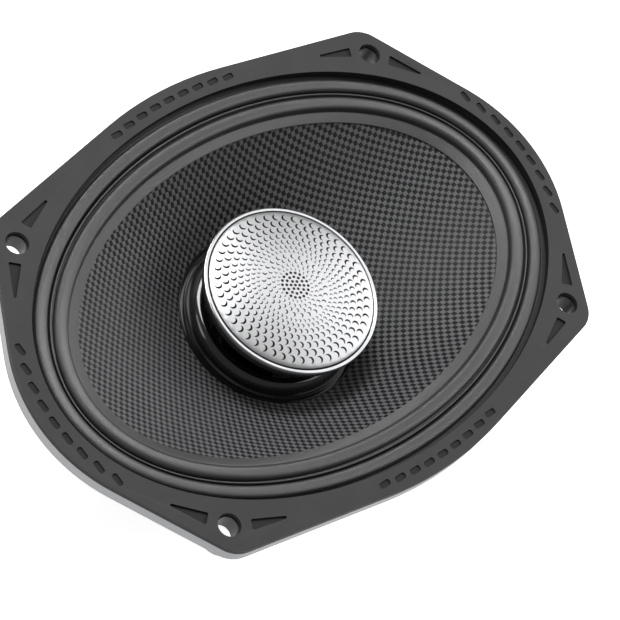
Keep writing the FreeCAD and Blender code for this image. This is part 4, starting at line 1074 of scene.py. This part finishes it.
def camera_matrix(stage):
    """Look from azimuth and elevation at the target, then turn about the view's own axis."""
    back = Vector((math.cos(stage.elevation) * math.cos(stage.azimuth),
                   math.cos(stage.elevation) * math.sin(stage.azimuth), math.sin(stage.elevation)))
    level_right = (-back).cross(Vector((0, 0, 1))).normalized()
    level_up = back.cross(level_right)
    right = math.cos(stage.roll) * level_right + math.sin(stage.roll) * level_up
    up = back.cross(right)
    turned = Matrix((right, up, back)).transposed().to_4x4()
    return Matrix.Translation(Vector(stage.target) + back * stage.distance) @ turned


def softbox(name, place, target, width, height, power):
    """A rectangular area light that faces a point."""
    light = bpy.data.lights.new(name, "AREA")
    light.shape = "RECTANGLE"
    light.size = width
    light.size_y = height
    light.energy = power
    holder = bpy.data.objects.new(name, light)
    holder.location = place
    holder.rotation_mode = "QUATERNION"
    holder.rotation_quaternion = (Vector(target) - Vector(place)).to_track_quat("-Z", "Y")
    bpy.context.scene.collection.objects.link(holder)
    return holder


class SPEAKER_OT_stage(Operator):
    """Plain pale floor, white room, soft lights and the camera"""
    bl_idname = "speaker.stage"
    bl_label = "Stage"

    def execute(self, context):
        scene = context.scene
        stage = scene.speaker_stage
        floor_level = CAD_BOX[0].z
        half = 4.0
        mesh = bpy.data.meshes.new("floor")
        corners = [(-half, -half, floor_level), (half, -half, floor_level), (half, half, floor_level),
                   (-half, half, floor_level)]
        mesh.from_pydata(corners, [], [(0, 1, 2, 3)])
        floor = bpy.data.objects.new("floor", mesh)
        scene.collection.objects.link(floor)
        board = Board("pale_floor", roughness=0.9, specular_ior_level=0.1)
        where, _ = board.place()
        mottled(board, tuple(scene.speaker_finish.floor), where, 3, 0.01)
        board.set("Emission Color", (1, 1, 1))
        board.set("Emission Strength", stage.glow)
        mesh.materials.append(board.material)
        camera = bpy.data.objects.new("camera", bpy.data.cameras.new("camera"))
        camera.data.sensor_width = 36
        camera.data.lens = stage.lens
        camera.data.clip_start = 0.05
        camera.data.clip_end = 20
        camera.matrix_world = camera_matrix(stage)
        scene.collection.objects.link(camera)
        scene.camera = camera
        scene.world = bpy.data.worlds.new("white_room")
        scene.world.use_nodes = True
        background = scene.world.node_tree.nodes["Background"]
        background.inputs["Color"].default_value = (1, 1, 1, 1)
        background.inputs["Strength"].default_value = stage.world
        softbox("top_box", (0.15, 0.82, 1.19), (0, 0, 0), 0.75, 0.6, 15)
        softbox("sky_box", (1.08, -0.16, 1.1), (0, 0, 0), 1.25, 1.15, 8)
        softbox("low_box", (1.3, -0.25, 0.45), (0, 0, 0), 0.8, 0.5, 4)
        softbox("left_box", (-0.95, 0.85, 0.62), (0, 0, 0), 0.6, 0.7, 3)
        scene.view_settings.view_transform = "Standard"
        return {"FINISHED"}


# ------------------------------------------------------------------ panel and registration

STEPS = (SPEAKER_OT_stage, SPEAKER_OT_finishes, SPEAKER_OT_surround, SPEAKER_OT_cone, SPEAKER_OT_dust_ring,
         SPEAKER_OT_spider, SPEAKER_OT_grille, SPEAKER_OT_tweeter_suspension, SPEAKER_OT_tweeter_rim,
         SPEAKER_OT_vent_ring, SPEAKER_OT_cast_and_moulded, SPEAKER_OT_cable, SPEAKER_OT_tinsel_leads)

GROUPS = {
    "speaker_surround": SpeakerSurroundSizes,
    "speaker_cone": SpeakerConeSizes,
    "speaker_grille": SpeakerGrilleSizes,
    "speaker_finish": SpeakerFinish,
    "speaker_stage": SpeakerStage,
}


class SPEAKER_PT_panel(Panel):
    """Lists the speaker's pieces and their sizes"""
    bl_idname = "SPEAKER_PT_panel"
    bl_label = "Coaxial speaker"
    bl_space_type = "VIEW_3D"
    bl_region_type = "UI"
    bl_category = "Speaker"

    def draw(self, context):
        for step in STEPS:
            self.layout.operator(step.bl_idname)
        for name in GROUPS:
            box = self.layout.box()
            group = getattr(context.scene, name)
            for word in group.bl_rna.properties.keys():
                if word not in {"rna_type", "name"}:
                    box.prop(group, word)


def register():
    for name, group in GROUPS.items():
        bpy.utils.register_class(group)
        setattr(bpy.types.Scene, name, PointerProperty(type=group))
    for step in STEPS:
        bpy.utils.register_class(step)
    bpy.utils.register_class(SPEAKER_PT_panel)


def unregister():
    bpy.utils.unregister_class(SPEAKER_PT_panel)
    for step in reversed(STEPS):
        bpy.utils.unregister_class(step)
    for name, group in GROUPS.items():
        delattr(bpy.types.Scene, name)
        bpy.utils.unregister_class(group)


def main():
    register()
    for step in STEPS:
        family, word = step.bl_idname.split(".")
        getattr(getattr(bpy.ops, family), word)()


if __name__ == "__main__":
    main()
